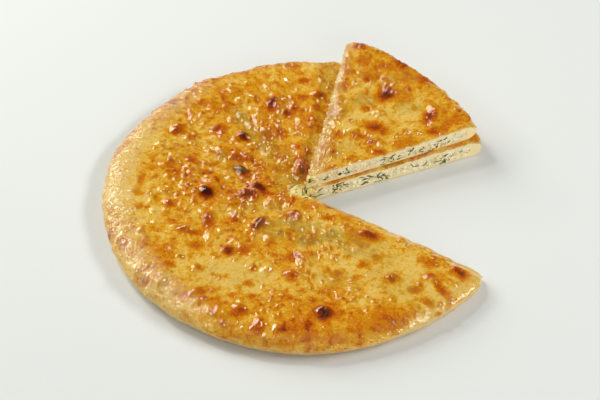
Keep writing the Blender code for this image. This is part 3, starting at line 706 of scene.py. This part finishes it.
def crust_surface(sector, angles):
    """Places and finish of the crust's points, by ring and column."""
    rings, arc = crust_rings(sector, angles)
    kind, radius, rounding, far = (np.array(values) for values in zip(*rings))
    is_top, is_base = (kind == "top")[:, None], (kind == "base")[:, None]
    inside = (kind == "floor") | (kind == "roof")
    hidden = inside[:, None]
    side = np.where(kind == "roof", 1, -1)[:, None]
    angle = np.zeros_like(radius) + angles
    edge = edge_radius(sector, angle)
    x, y = place(sector, radius, angle)
    base = sector.under(x, y)
    z = base + 0.5 * body_height(sector, radius, angle) * (1 + np.where(is_top, rounding, -rounding))
    z = z + is_top * lump_height(sector, x, y, edge - radius)
    z = np.where(hidden, hollow_height(sector, radius, angle, edge - RIM_DOUGH - radius, side), z)

    sx, sy = place(sector, far, angle)
    edge_distance = arc - far
    to_cut = np.minimum(cut_distance(sector, radius, angle, 0), cut_distance(sector, radius, angle, 1))
    blister, blister_tone = small_blisters(sector, sx, sy)
    lift = blister + top_relief(sector, sx, sy) + rim_puckers(sector, angle, edge_distance)
    lift = np.where(lift < 0, -DEEPEST_DIP * np.tanh(-lift / DEEPEST_DIP), lift)
    ragged_edge = 0.9 * grain(sx, sy, 7, sector.seed + 58) + 0.6 * grain(sx, sy, 3.6, sector.seed + 59)
    lift = lift * (0.5 + 0.5 * smooth(to_cut / 2.0)) + ragged_edge * smooth(1.2 - to_cut / 5)
    lift = lift * (is_top + is_base * (1 - rounding))
    outward = np.sqrt(1 - rounding ** 2)
    turn = np.radians(angle)
    x = x + lift * outward * np.cos(turn)
    y = y + lift * outward * np.sin(turn)
    z = np.where(hidden, z, np.maximum(z + lift * rounding * is_top, base + ABOVE_FLOOR))

    flat_base = is_base & (rounding == 1)
    browned = browning(sector, sx, sy, angle, edge_distance, blister_tone)
    browned = np.where(flat_base, 0.36 + 0.1 * grain(x, y, 24, sector.seed + 51), browned)
    crease_and_painted_sheen, along, across = creases(sector, radius, angle, edge_distance)
    crease_and_painted_sheen = np.where(hidden | (edge_distance < -8), 0, crease_and_painted_sheen)
    pale = pale_dough(sector, sx, sy, radius, angle, edge_distance, to_cut, crease_and_painted_sheen * is_top)
    pale = np.where(flat_base, 0.35, pale)
    finish = {
        "browned": np.where(hidden, 0.05, browned),
        "pale": np.where(hidden, 1.0, pale),
        # herbs under thin dough, which also carries painted shade in the hollows between bumps
        "thin": thinness_and_hollow_shade(sector, sx, sy) * is_top,
        "crease_and_painted_sheen": crease_and_painted_sheen,
    }
    crease_place = np.stack([along, across, np.zeros_like(x)], -1)
    return Surface(np.stack([x, y, z], -1), inside, crease_place, finish)


def in_frame(places):
    """Places in the pie's plan, mm, as places in the frame, m."""
    return (np.asarray(places) + (*PIE_CENTRE, 0.0)) * MM


def points_of(sheet):
    flat = np.empty(3 * len(sheet.data.vertices))
    sheet.data.vertices.foreach_get("co", flat)
    return flat.reshape(-1, 3)


def select_only(first, *others):
    """Selects these pieces and nothing else, with the first one active."""
    bpy.ops.object.select_all(action="DESELECT")
    for piece in (first, *others):
        piece.select_set(True)
    bpy.context.view_layer.objects.active = first


def add_sheet(name, columns, rings):
    """A flat sheet of columns by rings, with each point's column and ring."""
    bpy.ops.object.select_all(action="DESELECT")
    bpy.ops.mesh.primitive_grid_add(x_subdivisions=columns, y_subdivisions=rings, size=2.0)
    sheet = bpy.context.active_object
    sheet.name = name
    sheet.data.name = name
    shares = (points_of(sheet) + 1) / 2
    column = np.rint(shares[:, 0] * columns).astype(int)
    ring = np.rint(shares[:, 1] * rings).astype(int)
    return sheet, column, ring


def set_places(sheet, places):
    sheet.data.vertices.foreach_set("co", in_frame(places).astype(np.float32).ravel())
    sheet.data.update()


def set_values(sheet, name, values, kind="FLOAT", field="value"):
    """Gives every point a value that the materials read."""
    attribute = sheet.data.attributes.new(name, kind, "POINT")
    attribute.data.foreach_set(field, np.asarray(values, np.float32).ravel())


def weld(sheet):
    """Closes the seams and turns all faces outwards."""
    select_only(sheet)
    bpy.ops.object.mode_set(mode="EDIT")
    bpy.ops.mesh.select_mode(type="VERT")
    bpy.ops.mesh.select_all(action="SELECT")
    bpy.ops.mesh.remove_doubles(threshold=WELD_DISTANCE)
    bpy.ops.mesh.select_all(action="SELECT")
    bpy.ops.mesh.normals_make_consistent(inside=False)
    bpy.ops.object.mode_set(mode="OBJECT")


def shade(sheet, angle):
    select_only(sheet)
    bpy.ops.object.shade_smooth_by_angle(angle=math.radians(angle))


def close_cuts(sheet, column, ring, columns, rings):
    """Closes the wrapped sheet with one face at each cut."""
    shape = bmesh.new()
    shape.from_mesh(sheet.data)
    shape.verts.ensure_lookup_table()
    index = {key: number for number, key in enumerate(zip(ring, column))}
    for which in (0, columns):
        cut_face = shape.faces.new([shape.verts[index[number, which]] for number in range(rings)])
        cut_face.material_index = 1
    shape.to_mesh(sheet.data)
    shape.free()


def build_crust(sector, materials):
    """The crust: one sheet wrapped round the whole section, closed at both cuts."""
    surface = crust_surface(sector, np.linspace(*sector.cuts, sector.columns + 1))
    rings = len(surface.places)
    sheet, column, ring = add_sheet(sector.name + "_crust_baked", sector.columns, rings)
    for material in materials:
        sheet.data.materials.append(material)
    centre = np.empty(3 * len(sheet.data.polygons))
    sheet.data.polygons.foreach_get("center", centre)
    face_ring = np.floor((centre[1::3] + 1) / 2 * rings).astype(int)
    hidden = surface.inside | np.roll(surface.inside, -1)
    sheet.data.polygons.foreach_set("material_index", hidden[face_ring].astype(np.int32))
    wrapped = ring % rings
    set_places(sheet, surface.places[wrapped, column])
    for name, values in surface.finish.items():
        set_values(sheet, name, values[wrapped, column])
    set_values(sheet, "crease_place", surface.crease_place[wrapped, column], "FLOAT_VECTOR", "vector")
    close_cuts(sheet, column, ring, sector.columns, rings)
    weld(sheet)
    shade(sheet, 58)
    return sheet


# ---------------------------------------------------------------- filling

def filling_radii(inner):
    """Radii of the filling's rings, the last ones round its outer corner."""
    count = int((RADIUS - RIM_DOUGH - HOLLOW_ROUND) / CURD_STEP)
    radii = [(inner - HOLLOW_ROUND) * part for part in np.linspace(0, 1, count)]
    return radii + [inner - HOLLOW_ROUND * (1 - math.sin(math.radians(turn))) for turn in FILLING_TURNS]


def filling_height(sector, radius, angle, inner, side):
    """Height of the filling's top (side 1), heaped in the opening, or of its base (side -1)."""
    height = hollow_height(sector, radius, angle, inner - radius, side)
    if side < 0:
        return height
    open_share = smooth((vent_radius(sector, angle) - 0.6 - radius) / 3.5)
    x, y = place(sector, radius, angle)
    lumps = 2.6 * curds(x, y, 4.6, sector.seed + 60) + 1.0 * curds(x, y, 2.2, sector.seed + 61) - 1.8
    return height + open_share * (TOP_SHEET - 0.2 + lumps)


def filling_at_cut(sector, which, radius):
    """Heights of the filling's floor and roof at a cut."""
    angle = np.array([sector.cuts[which]])
    inner = edge_radius(sector, angle) - RIM_DOUGH
    return [filling_height(sector, np.array([radius]), angle, inner, side)[0] for side in (-1, 1)]


def curd_relief(sector, which, radius, height):
    """How far the crumbled cheese stands out of a cut, mm."""
    seed = sector.seed + 70 + 5 * which
    coarse = curds(radius, height, 5.4, seed) * 2.0
    fine = curds(radius + 1.3 * coarse, height, 2.6, seed + 1) * 1.1
    return coarse + fine + 0.3 * grain(radius, height, 1.5, seed + 2) - 2.4


def out_of_cut(sector, which):
    """The direction that a cut faces."""
    turn = math.radians(sector.cuts[which] + (-90 if which == 0 else 90))
    return np.array([math.cos(turn), math.sin(turn), 0.0])


def cut_face_places(sector, which):
    """Places over a cut face of the filling, from the apex outwards and from floor to roof."""
    inner = edge_radius(sector, sector.cuts[which]) - RIM_DOUGH
    parts = np.linspace(0, 1, CURD_ROWS + 1)
    table = []
    for radius in filling_radii(inner):
        floor, roof = filling_at_cut(sector, which, radius)
        x, y = place(sector, radius, sector.cuts[which])
        heights = floor + (roof - floor) * parts
        edge = smooth(np.minimum(parts, 1 - parts) * (roof - floor))
        edge = edge * smooth((inner - radius) / 1.5) * smooth(radius / 2.5)
        relief = edge * curd_relief(sector, which, np.full_like(heights, radius), heights)
        flat = np.stack([np.full_like(heights, x), np.full_like(heights, y), heights], -1)
        table.append(flat + relief[:, None] * out_of_cut(sector, which))
    return np.array(table)


def build_filling(sector, material):
    """The cheese filling: a plain body whose two cut faces are crumbled."""
    columns = max(int((sector.cuts[1] - sector.cuts[0]) / 3.2), 12)
    angles = np.linspace(*sector.cuts, columns + 1)
    inner = edge_radius(sector, angles) - RIM_DOUGH
    radii = filling_radii(inner)

    def row(radius, side):
        height = filling_height(sector, radius, angles, inner, side)
        return np.stack([*place(sector, radius, angles), height], -1)

    roof = [row(radius, 1) for radius in radii]
    floor = [row(radius, -1) for radius in radii[::-1]]
    shares = np.linspace(1, 0, CURD_ROWS + 1)[1:-1]
    wall = [floor[0] + (roof[-1] - floor[0]) * share for share in shares]
    places = np.array(roof + wall + floor)
    sheet, column, ring = add_sheet(sector.name + "_filling_crumbled", columns, len(places) - 1)
    set_places(sheet, places[ring, column])
    caps = []
    for which in (0, 1):
        table = cut_face_places(sector, which)
        cap, along, up = add_sheet(sector.name + "_cut", len(table) - 1, CURD_ROWS)
        set_places(cap, table[along, up])
        caps.append(cap)
    select_only(sheet, *caps)
    bpy.ops.object.join()
    sheet.data.materials.append(material)
    weld(sheet)
    from_centre = points_of(sheet)[:, :2] / MM - PIE_CENTRE
    to_apex = np.hypot(*(from_centre - sector.apex).T)
    set_values(sheet, "melted", smooth(1.5 - to_apex / (17.0 if sector.tear else 9.0)))
    shade(sheet, 65)
    return sheet


# ---------------------------------------------------------------- herbs and loose curds

def strand(path, width, up):
    """A thin flattened strand along a path: four-sided, pointed at both ends."""
    side = np.cross(up, path[-1] - path[0])
    side /= max(np.linalg.norm(side), 1e-6)
    verts = [tuple(path[0])]
    for point, share in zip(path[1:-1], np.sin(np.linspace(0, np.pi, len(path)))[1:-1]):
        half = width * (0.45 + 0.55 * share) / 2
        for across, above in ((1, 0), (0, 0.5), (-1, 0), (0, -0.5)):
            verts.append(tuple(point + side * half * across + up * half * above))
    verts.append(tuple(path[-1]))
    end, last = len(verts) - 1, len(verts) - 5
    faces = []
    for k in range(4):
        after = (k + 1) % 4
        faces.append((0, 1 + after, 1 + k))
        faces += [(start + k, start + after, start + 4 + after, start + 4 + k)
                  for start in range(1, last, 4)]
        faces.append((last + k, last + after, end))
    return verts, faces


def cut_surface(sector, which, radius, height_share):
    """A point on the crumbled face of a cut, and the direction out of it."""
    floor, roof = filling_at_cut(sector, which, radius)
    height = floor + (roof - floor) * height_share
    relief = curd_relief(sector, which, np.array([radius]), np.array([height]))[0]
    relief *= float(smooth(min(height_share, 1 - height_share) * (roof - floor)))
    x, y = place(sector, radius, sector.cuts[which])
    out = out_of_cut(sector, which)
    return np.array([x, y, height]) + out * relief, out


def cut_strands(sector, which, draw):
    """Dill strands in tufts, pressed into a cut face of the filling."""
    strands = []
    tuft, height = 0.0, 0.5
    for _ in range(STRANDS_AT_CUT):
        if draw.random() < 0.36:
            tuft, height = draw.uniform(4, RADIUS - RIM_DOUGH - 6), draw.uniform(0.15, 0.85)
        radius = min(max(tuft + draw.gauss(0, 3.2), 3), RADIUS - RIM_DOUGH - 5)
        share = min(max(height + draw.gauss(0, 0.18), 0.02), 1.0)
        length = 2.6 + 6.6 * draw.random() ** 1.3
        lean = math.radians(draw.gauss(0, 38))
        bend = draw.uniform(-0.8, 0.8)
        path, out = [], None
        for part in STRAND_PARTS:
            step = part * length
            direction = lean + bend * part
            r = min(max(radius + step * math.cos(direction), 1.5), RADIUS - RIM_DOUGH - 3)
            up = min(max(share + step * math.sin(direction) / FILLING_HEIGHT, -0.03), 1.06)
            point, out = cut_surface(sector, which, r, up)
            path.append(point + out * 0.16)
        strands.append(strand(np.array(path), draw.uniform(0.7, 1.6), out))
    return strands


def vent_strands(sector, draw):
    """Dill strands that lie on the cheese in the opening at the apex."""
    strands = []
    for _ in range(STRANDS_IN_VENT):
        angle = draw.uniform(*sector.cuts)
        radius = draw.uniform(1.5, float(vent_radius(sector, angle)) - 1.5)
        x, y = place(sector, radius, angle)
        lean = draw.uniform(0, math.pi)
        length = draw.uniform(1.6, 5.0)
        path = []
        for part in STRAND_PARTS:
            px = x + length * part * math.cos(lean + 0.7 * part)
            py = y + length * part * math.sin(lean + 0.7 * part)
            r, a = polar(sector, np.array([px]), np.array([py]))
            z = float(filling_height(sector, r, a, edge_radius(sector, a) - RIM_DOUGH, 1)[0])
            path.append((px, py, z + 0.15))
        strands.append(strand(np.array(path), draw.uniform(0.6, 1.2), np.array([0, 0, 1.0])))
    return strands


def curd_lump(centre, size, draw):
    """A small angular crumb of cheese."""
    shape = bmesh.new()
    bmesh.ops.create_icosphere(shape, subdivisions=1, radius=size)
    stretch = [draw.uniform(0.7, 1.3) for _ in range(3)]
    turn = Matrix.Rotation(draw.uniform(0, 6.28), 3, Vector([draw.gauss(0, 1) for _ in range(3)]))
    verts = []
    for vert in shape.verts:
        point = vert.co * draw.uniform(0.82, 1.15)
        point = turn @ Vector([point[i] * stretch[i] for i in range(3)])
        verts.append(tuple(np.array(point) + centre))
    faces = [tuple(v.index for v in face.verts) for face in shape.faces]
    shape.free()
    return verts, faces


def cut_curds(sector, which, draw):
    """Loose crumbs of cheese on a cut face of the filling."""
    crumbs = []
    for _ in range(CRUMBS_AT_CUT):
        radius = draw.uniform(3, RADIUS - RIM_DOUGH - 5)
        share = draw.uniform(0.02, 1.06)
        size = 0.5 + 0.9 * draw.random() ** 2
        point, out = cut_surface(sector, which, radius, share)
        crumbs.append(curd_lump(point + out * 0.25 * size, size, draw))
    return crumbs


def mesh_piece(name, shapes, material):
    """One piece made of many small closed shapes, each given as its points and faces."""
    verts, faces = [], []
    for points, sides in shapes:
        faces += [tuple(i + len(verts) for i in side) for side in sides]
        verts += points
    mesh = bpy.data.meshes.new(name)
    mesh.from_pydata(in_frame(verts).tolist(), [], faces)
    mesh.validate()
    mesh.materials.append(material)
    piece = bpy.data.objects.new(name, mesh)
    bpy.context.collection.objects.link(piece)
    shape = bmesh.new()
    shape.from_mesh(mesh)
    bmesh.ops.recalc_face_normals(shape, faces=shape.faces)
    shape.to_mesh(mesh)
    shape.free()
    shade(piece, 50)
    return piece


# ---------------------------------------------------------------- materials

# How baked dough looks from pale to burnt, red, green and blue from 0 to 255
BAKED_TONES = (
    (0.0, (244, 203, 106)), (0.16, (237, 177, 46)), (0.32, (223, 146, 3)), (0.47, (211, 113, 0)),
    (0.6, (190, 79, 0)), (0.74, (144, 49, 0)), (0.9, (88, 22, 1)), (1.0, (38, 14, 6)),
)
CUT_DOUGH_TONES = (
    (0.0, (255, 236, 182)), (0.35, (253, 224, 154)), (0.7, (236, 190, 108)), (1.0, (210, 146, 56)),
)
CHEESE_TONES = ((0.34, (232, 200, 134)), (0.46, (252, 234, 186)), (0.6, (255, 250, 222)))
DILL_TONES = ((0.3, (56, 64, 16)), (0.5, (86, 94, 28)), (0.7, (130, 132, 58)))
# olive of herbs under thin dough, also used as painted shade in the hollows between bumps
HERBS_UNDER_DOUGH_AND_HOLLOW_SHADE = (180, 142, 44)
PALE_DOUGH = (238, 210, 154)
PALE_DOUGH_SHADE = (216, 178, 110)
MELTED_CHEESE = (252, 226, 128)
FINE_CRUMB = 2.1                # mm
BUTTER_PATCH = 9.0              # mm
BUTTER_PATCH_ROUGHNESS = 0.55
CREASE_STRETCH = (0.3, 0.1, 1.0)


def linear(red, green, blue):
    """A colour given from 0 to 255, as the shader wants it."""
    parts = []
    for value in (red, green, blue):
        share = value / 255
        parts.append(share / 12.92 if share <= 0.04045 else ((share + 0.055) / 1.055) ** 2.4)
    return (*parts, 1.0)


class Mixer:
    """Short hand for adding and wiring nodes in one tree."""

    def __init__(self, tree):
        self.tree = tree

    def feed(self, socket, value):
        """Wires another node's output into a socket, or sets the socket to a constant."""
        if isinstance(value, bpy.types.NodeSocket):
            self.tree.links.new(value, socket)
        else:
            socket.default_value = value

    def add(self, kind, settings=None, **inputs):
        node = self.tree.nodes.new(kind)
        for name, value in (settings or {}).items():
            setattr(node, name, value)
        for name, value in inputs.items():
            self.feed(node.inputs[name], value)
        return node

    def math(self, operation, first, second, clamp=False):
        node = self.add("ShaderNodeMath", {"operation": operation, "use_clamp": clamp})
        self.feed(node.inputs[0], first)
        self.feed(node.inputs[1], second)
        return node.outputs[0]

    def plus(self, first, second, clamp=False):
        return self.math("ADD", first, second, clamp)

    def minus(self, first, second, clamp=False):
        return self.math("SUBTRACT", first, second, clamp)

    def times(self, first, second, clamp=False):
        return self.math("MULTIPLY", first, second, clamp)

    def blend(self, share, first, second):
        node = self.add("ShaderNodeMix", {"data_type": "RGBA"})
        for slot, value in ((0, share), (6, first), (7, second)):
            self.feed(node.inputs[slot], value)
        return node.outputs[2]

    def ramp(self, share, tones):
        node = self.add("ShaderNodeValToRGB", Fac=share)
        elements = node.color_ramp.elements
        while len(elements) < len(tones):
            elements.new(0.5)
        for element, (position, colour) in zip(elements, tones):
            element.position = position
            element.color = linear(*colour)
        return node.outputs["Color"]

    def attribute(self, name, output="Fac"):
        return self.add("ShaderNodeAttribute", {"attribute_name": name}).outputs[output]

    def place(self):
        return self.add("ShaderNodeTexCoord").outputs["Object"]

    def noise(self, place_socket, **inputs):
        return self.add("ShaderNodeTexNoise", Vector=place_socket, **inputs).outputs[0]

    def cells(self, place_socket, scale):
        return self.add("ShaderNodeTexVoronoi", Vector=place_socket, Scale=scale).outputs["Distance"]

    def crumb(self, group, size, roughness):
        """Mask and height of the shared fine unevenness."""
        outputs = self.add("ShaderNodeGroup", {"node_tree": group}, Size=size, Roughness=roughness).outputs
        return outputs["Mask"], outputs["Height"]

    def bump(self, height, strength, distance):
        node = self.add("ShaderNodeBump", Height=height, Strength=strength, Distance=distance)
        return node.outputs["Normal"]


def crumb_group():
    """Fine unevenness that dough and cheese share: a mask and a height."""
    group = bpy.data.node_groups.new("fine_crumb", "ShaderNodeTree")
    for name, kind in (("Size", "INPUT"), ("Roughness", "INPUT"), ("Mask", "OUTPUT"), ("Height", "OUTPUT")):
        group.interface.new_socket(name, in_out=kind, socket_type="NodeSocketFloat")
    mixer = Mixer(group)
    source = mixer.add("NodeGroupInput")
    place_socket = mixer.place()
    scale = mixer.math("DIVIDE", 1000.0, source.outputs["Size"])
    coarse = mixer.noise(place_socket, Scale=scale, Detail=4.0, Roughness=source.outputs["Roughness"])
    cells = mixer.cells(place_socket, mixer.times(scale, 2.7))
    height = mixer.minus(coarse, mixer.times(cells, 0.35))
    mixer.add("NodeGroupOutput", Mask=coarse, Height=height)
    return group


def new_material(name):
    material = bpy.data.materials.new(name)
    material.use_nodes = True
    return material, Mixer(material.node_tree), material.node_tree.nodes["Principled BSDF"]


def finish(mixer, shader, surface):
    for name, value in surface.items():
        mixer.feed(shader.inputs[name], value)


def crease_ridge(mixer):
    """Fine ridges that run along the dough's creases: 0 in a groove, 1 beside it."""
    stretched = mixer.add("ShaderNodeVectorMath", {"operation": "MULTIPLY"})
    mixer.feed(stretched.inputs[0], mixer.attribute("crease_place", "Vector"))
    mixer.feed(stretched.inputs[1], CREASE_STRETCH)
    lines = mixer.noise(stretched.outputs[0], Scale=1.0, Detail=1.0, Roughness=0.5, Distortion=0.6)
    return mixer.times(mixer.math("ABSOLUTE", mixer.minus(lines, 0.5), 0.0), 9.0, clamp=True)


def baked_colour(mixer, fine, broad, pale, line):
    """Browned skin, herbs through it, bare pale dough, painted hollow shade, painted crease highlight and
    groove shade.
    """
    uneven = mixer.times(mixer.minus(fine, 0.5), 1.12)
    uneven = mixer.plus(uneven, mixer.times(mixer.minus(broad, 0.5), 0.26))
    tone = mixer.plus(mixer.attribute("browned"), uneven)
    # painted shade: the crease grooves brown a little more
    tone = mixer.plus(tone, mixer.times(line, 0.1), clamp=True)
    # olive where herbs show through, also painted shade in the hollows between bumps
    herbs = mixer.times(mixer.attribute("thin"), mixer.times(1.45, fine), clamp=True)
    baked = mixer.blend(herbs, mixer.ramp(tone, BAKED_TONES), linear(*HERBS_UNDER_DOUGH_AND_HOLLOW_SHADE))
    bare = mixer.blend(mixer.times(fine, 0.8, clamp=True), linear(*PALE_DOUGH), linear(*PALE_DOUGH_SHADE))
    share = mixer.plus(pale, mixer.times(uneven, 0.8))
    # the painted highlight is taken back in the crease grooves, as painted shade
    share = mixer.minus(share, mixer.times(line, 0.42), clamp=True)
    return mixer.blend(mixer.times(share, 0.9), baked, bare)


def butter_relief(mixer, ridge, crease_and_painted_sheen):
    """The glossy butter's own relief: ripples, drops in patches, and the creases under it."""
    place_socket = mixer.place()
    ripple = mixer.noise(place_socket, Scale=360.0, Detail=2.0)
    patches = mixer.noise(place_socket, Scale=1000.0 / BUTTER_PATCH, Detail=4.0,
                          Roughness=BUTTER_PATCH_ROUGHNESS)
    drops = mixer.minus(0.26, mixer.cells(place_socket, 290.0), clamp=True)
    drops = mixer.times(drops, mixer.math("GREATER_THAN", patches, 0.48))
    relief = mixer.plus(mixer.times(ripple, 0.55), mixer.times(drops, 2.4))
    return mixer.plus(relief, mixer.times(mixer.times(ridge, crease_and_painted_sheen), 1.1))


def baked_crust_material(group):
    """Golden baked dough, brushed with butter."""
    material, mixer, shader = new_material("baked_crust")
    pale, crease_and_painted_sheen = mixer.attribute("pale"), mixer.attribute("crease_and_painted_sheen")
    fine, fine_height = mixer.crumb(group, FINE_CRUMB, 0.74)
    broad = mixer.crumb(group, BUTTER_PATCH, BUTTER_PATCH_ROUGHNESS)[0]
    ridge = crease_ridge(mixer)
    # painted shade along the crease grooves, which breaks the painted highlight
    line = mixer.times(mixer.minus(1.0, ridge), crease_and_painted_sheen)
    rough = mixer.plus(0.36, mixer.times(broad, 0.22))
    butter = mixer.minus(mixer.minus(1.25, mixer.times(broad, 0.8)), mixer.times(pale, 0.25))
    finish(mixer, shader, {
        "Base Color": baked_colour(mixer, fine, broad, pale, line),
        "Roughness": mixer.plus(rough, mixer.times(pale, 0.2), clamp=True),
        "Normal": mixer.bump(fine_height, 1.0, 0.0009),
        "Specular IOR Level": 0.03,
        "Coat Weight": mixer.plus(butter, mixer.times(crease_and_painted_sheen, 0.35), clamp=True),
        "Coat Roughness": mixer.plus(0.035, mixer.times(crease_and_painted_sheen, 0.035)),
        "Coat IOR": 1.62,
        "Coat Normal": mixer.bump(butter_relief(mixer, ridge, crease_and_painted_sheen), 0.6, 0.0008),
    })
    return material


def dough_inside_material(group):
    """Cut dough: pale crumb under a browned skin."""
    material, mixer, shader = new_material("cut_dough")
    fine, fine_height = mixer.crumb(group, 1.4, 0.6)
    skin = mixer.times(mixer.math("POWER", mixer.attribute("browned"), 2.0), 2.2, clamp=True)
    skin = mixer.plus(skin, mixer.times(mixer.minus(fine, 0.5), 0.8), clamp=True)
    finish(mixer, shader, {
        "Base Color": mixer.ramp(skin, CUT_DOUGH_TONES),
        "Roughness": 0.7,
        "Normal": mixer.bump(fine_height, 0.7, 0.0005),
    })
    return material


def cheese_material(group):
    """Crumbly white cheese, melted and yellower at the pie's middle."""
    material, mixer, shader = new_material("white_cheese")
    fine, fine_height = mixer.crumb(group, 1.6, 0.65)
    broad = mixer.crumb(group, 7.0, 0.5)[0]
    melted = mixer.attribute("melted")
    share = mixer.plus(mixer.times(fine, 0.7), mixer.times(broad, 0.3), clamp=True)
    fresh = mixer.ramp(share, CHEESE_TONES)
    finish(mixer, shader, {
        "Base Color": mixer.blend(mixer.times(melted, 0.75), fresh, linear(*MELTED_CHEESE)),
        "Roughness": mixer.minus(0.58, mixer.times(melted, 0.3)),
        "Specular IOR Level": 0.4,
        "Normal": mixer.bump(fine_height, 0.8, 0.0006),
    })
    return material


def dill_material(group):
    material, mixer, shader = new_material("chopped_dill")
    finish(mixer, shader, {
        "Base Color": mixer.ramp(mixer.crumb(group, 3.0, 0.6)[0], DILL_TONES),
        "Roughness": 0.5,
        "Specular IOR Level": 0.15,
    })
    return material


# ---------------------------------------------------------------- the pieces

def make_sectors():
    """The large part of the pie, the slice in its place and the slice on top of that one."""
    middle = math.radians((CUT_RIGHT + CUT_BACK) / 2)
    pie = Sector(
        "pie", cuts=(CUT_BACK, 360 + CUT_FRONT), flat=FLAT_HEIGHT, reach=(RADIUS, RADIUS, RADIUS),
        rise=pie_rise, round=pie_round, under=nowhere, sag=(0.6, 4.4), tear=VENT_TEAR,
        lumps=PIE_BLISTERS + scattered_lumps(random.Random(SEED)), cover=beside_lifted,
        corner=PIE_CORNER, spots=PIE_SPOTS, thin=PIE_THIN, zones=PIE_ZONES,
        bubbles=1100, columns=560, seed=300)
    lower = Sector(
        "lower_slice", apex=(SLICE_SHIFT * math.cos(middle), SLICE_SHIFT * math.sin(middle)),
        cuts=(CUT_RIGHT, CUT_BACK), flat=FLAT_HEIGHT - 0.4, reach=(RADIUS - 3, RADIUS, RADIUS),
        rise=pie_rise, round=slice_round, under=nowhere, sag=(0.5, 0.5), cover=nowhere,
        # its zones paint light onto the top that the lifted slice shades
        spots=LOWER_SPOTS, zones=LOWER_PAINTED_LIGHT, columns=130, seed=500)
    upper = Sector(
        "upper_slice", apex=LIFTED_APEX, cuts=LIFTED_CUTS, flat=LIFTED_FLAT, reach=LIFTED_REACH,
        rise=lifted_rise, round=slice_round, under=carried_height, sag=(0.4, 2.4),
        lumps=LIFTED_BLISTERS, cover=everywhere, spots=LIFTED_SPOTS, thin=LIFTED_THIN,
        zones=LIFTED_ZONES, pale_cut=0.64, bubbles=220, columns=160, seed=700)
    return pie, lower, upper


def build_pie():
    group = crumb_group()
    crust_finish = (baked_crust_material(group), dough_inside_material(group))
    cheese, dill = cheese_material(group), dill_material(group)
    for sector in make_sectors():
        crust = build_crust(sector, crust_finish)
        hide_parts(sector.name + "_crust")
        filling = build_filling(sector, cheese)
        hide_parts(sector.name + "_filling")
        draw = random.Random(sector.seed + 9)
        strands = cut_strands(sector, 0, draw) + cut_strands(sector, 1, draw)
        if sector.tear:
            strands += vent_strands(sector, draw)
        herbs = mesh_piece(sector.name + "_dill", strands, dill)
        loose = cut_curds(sector, 0, draw) + cut_curds(sector, 1, draw)
        crumbs = mesh_piece(sector.name + "_curds", loose, cheese)
        for piece in (crust, filling, herbs, crumbs):
            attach(piece, "root")


# ---------------------------------------------------------------- floor, light and camera

CAMERA_PLACE = (0.003506, -0.889570, 0.863420)
CAMERA_AIM = (0.003506, 0.003085, 0.0)
CAMERA_ROLL = 0.02345           # radians
CAMERA_LENS = 93.74             # mm
CAMERA_SENSOR = 36.0            # mm wide
FLOOR_DROP = 0.0004             # m
DAYLIGHT = (0.985, 1.0, 0.92)
LAMPS = (                       # name, place, width and height, watts, colour, whether it glints
    ("window", (-1.485, 1.385, 1.08), (1.2, 1.15), 32.4, DAYLIGHT, True),
    ("upper_window", (-0.82, 0.66, 1.33), (0.28, 0.28), 5.6, DAYLIGHT, True),
    ("left_strip", (-1.75, 0.25, 1.0), (0.9, 0.3), 6.3, DAYLIGHT, True),
    ("side_lamp", (1.71, -0.05, 1.3), (1.3, 0.4), 22.0, (1.0, 1.0, 0.95), True),
    ("ceiling", (0.1, -0.5, 2.0), (1.8, 1.8), 0.9, (1.0, 1.0, 1.0), False),
    ("front_card", (0.5, -1.7, 0.75), (1.4, 1.0), 10.0, (1.0, 0.98, 0.9), False),
)


def add_camera():
    bpy.ops.object.camera_add(location=CAMERA_PLACE)
    camera = bpy.context.active_object
    camera.name = "camera"
    back = (Vector(CAMERA_PLACE) - Vector(CAMERA_AIM)).normalized()
    right = Vector((1, 0, 0))
    up = back.cross(right)
    turn = Matrix((math.cos(CAMERA_ROLL) * right + math.sin(CAMERA_ROLL) * up,
                   -math.sin(CAMERA_ROLL) * right + math.cos(CAMERA_ROLL) * up,
                   back)).transposed()
    camera.rotation_euler = turn.to_euler()
    camera.data.sensor_width = CAMERA_SENSOR
    camera.data.lens = CAMERA_LENS
    camera.data.clip_start = 0.01
    bpy.context.scene.camera = camera


def add_lamp(name, location, size, watts, colour, glints):
    """A soft rectangular lamp that faces the pie."""
    bpy.ops.object.light_add(type="AREA", location=location)
    lamp = bpy.context.active_object
    lamp.name = name
    lamp.data.shape = "RECTANGLE"
    lamp.data.size, lamp.data.size_y = size
    lamp.data.energy = watts
    lamp.data.color = colour
    lamp.rotation_euler = Vector(location).to_track_quat("Z", "Y").to_euler()
    lamp.visible_glossy = glints


def add_floor():
    bpy.ops.mesh.primitive_plane_add(size=8.0, location=(0, 0, -FLOOR_DROP))
    floor = bpy.context.active_object
    floor.name = "floor"
    material, mixer, shader = new_material("pale_floor")
    finish(mixer, shader, {
        "Base Color": (0.8, 0.81, 0.815, 1.0),
        "Roughness": 0.9,
        "Specular IOR Level": 0.1,
    })
    floor.data.materials.append(material)


def add_sky():
    world = bpy.data.worlds.new("studio")
    world.use_nodes = True
    sky = world.node_tree.nodes["Background"]
    sky.inputs["Color"].default_value = (0.98, 1.0, 1.0, 1.0)
    sky.inputs["Strength"].default_value = 0.155
    world.cycles_visibility.glossy = False
    bpy.context.scene.world = world
    bpy.context.scene.view_settings.view_transform = "Standard"


build_pie()
add_floor()
add_sky()
for lamp_values in LAMPS:
    add_lamp(*lamp_values)
add_camera()
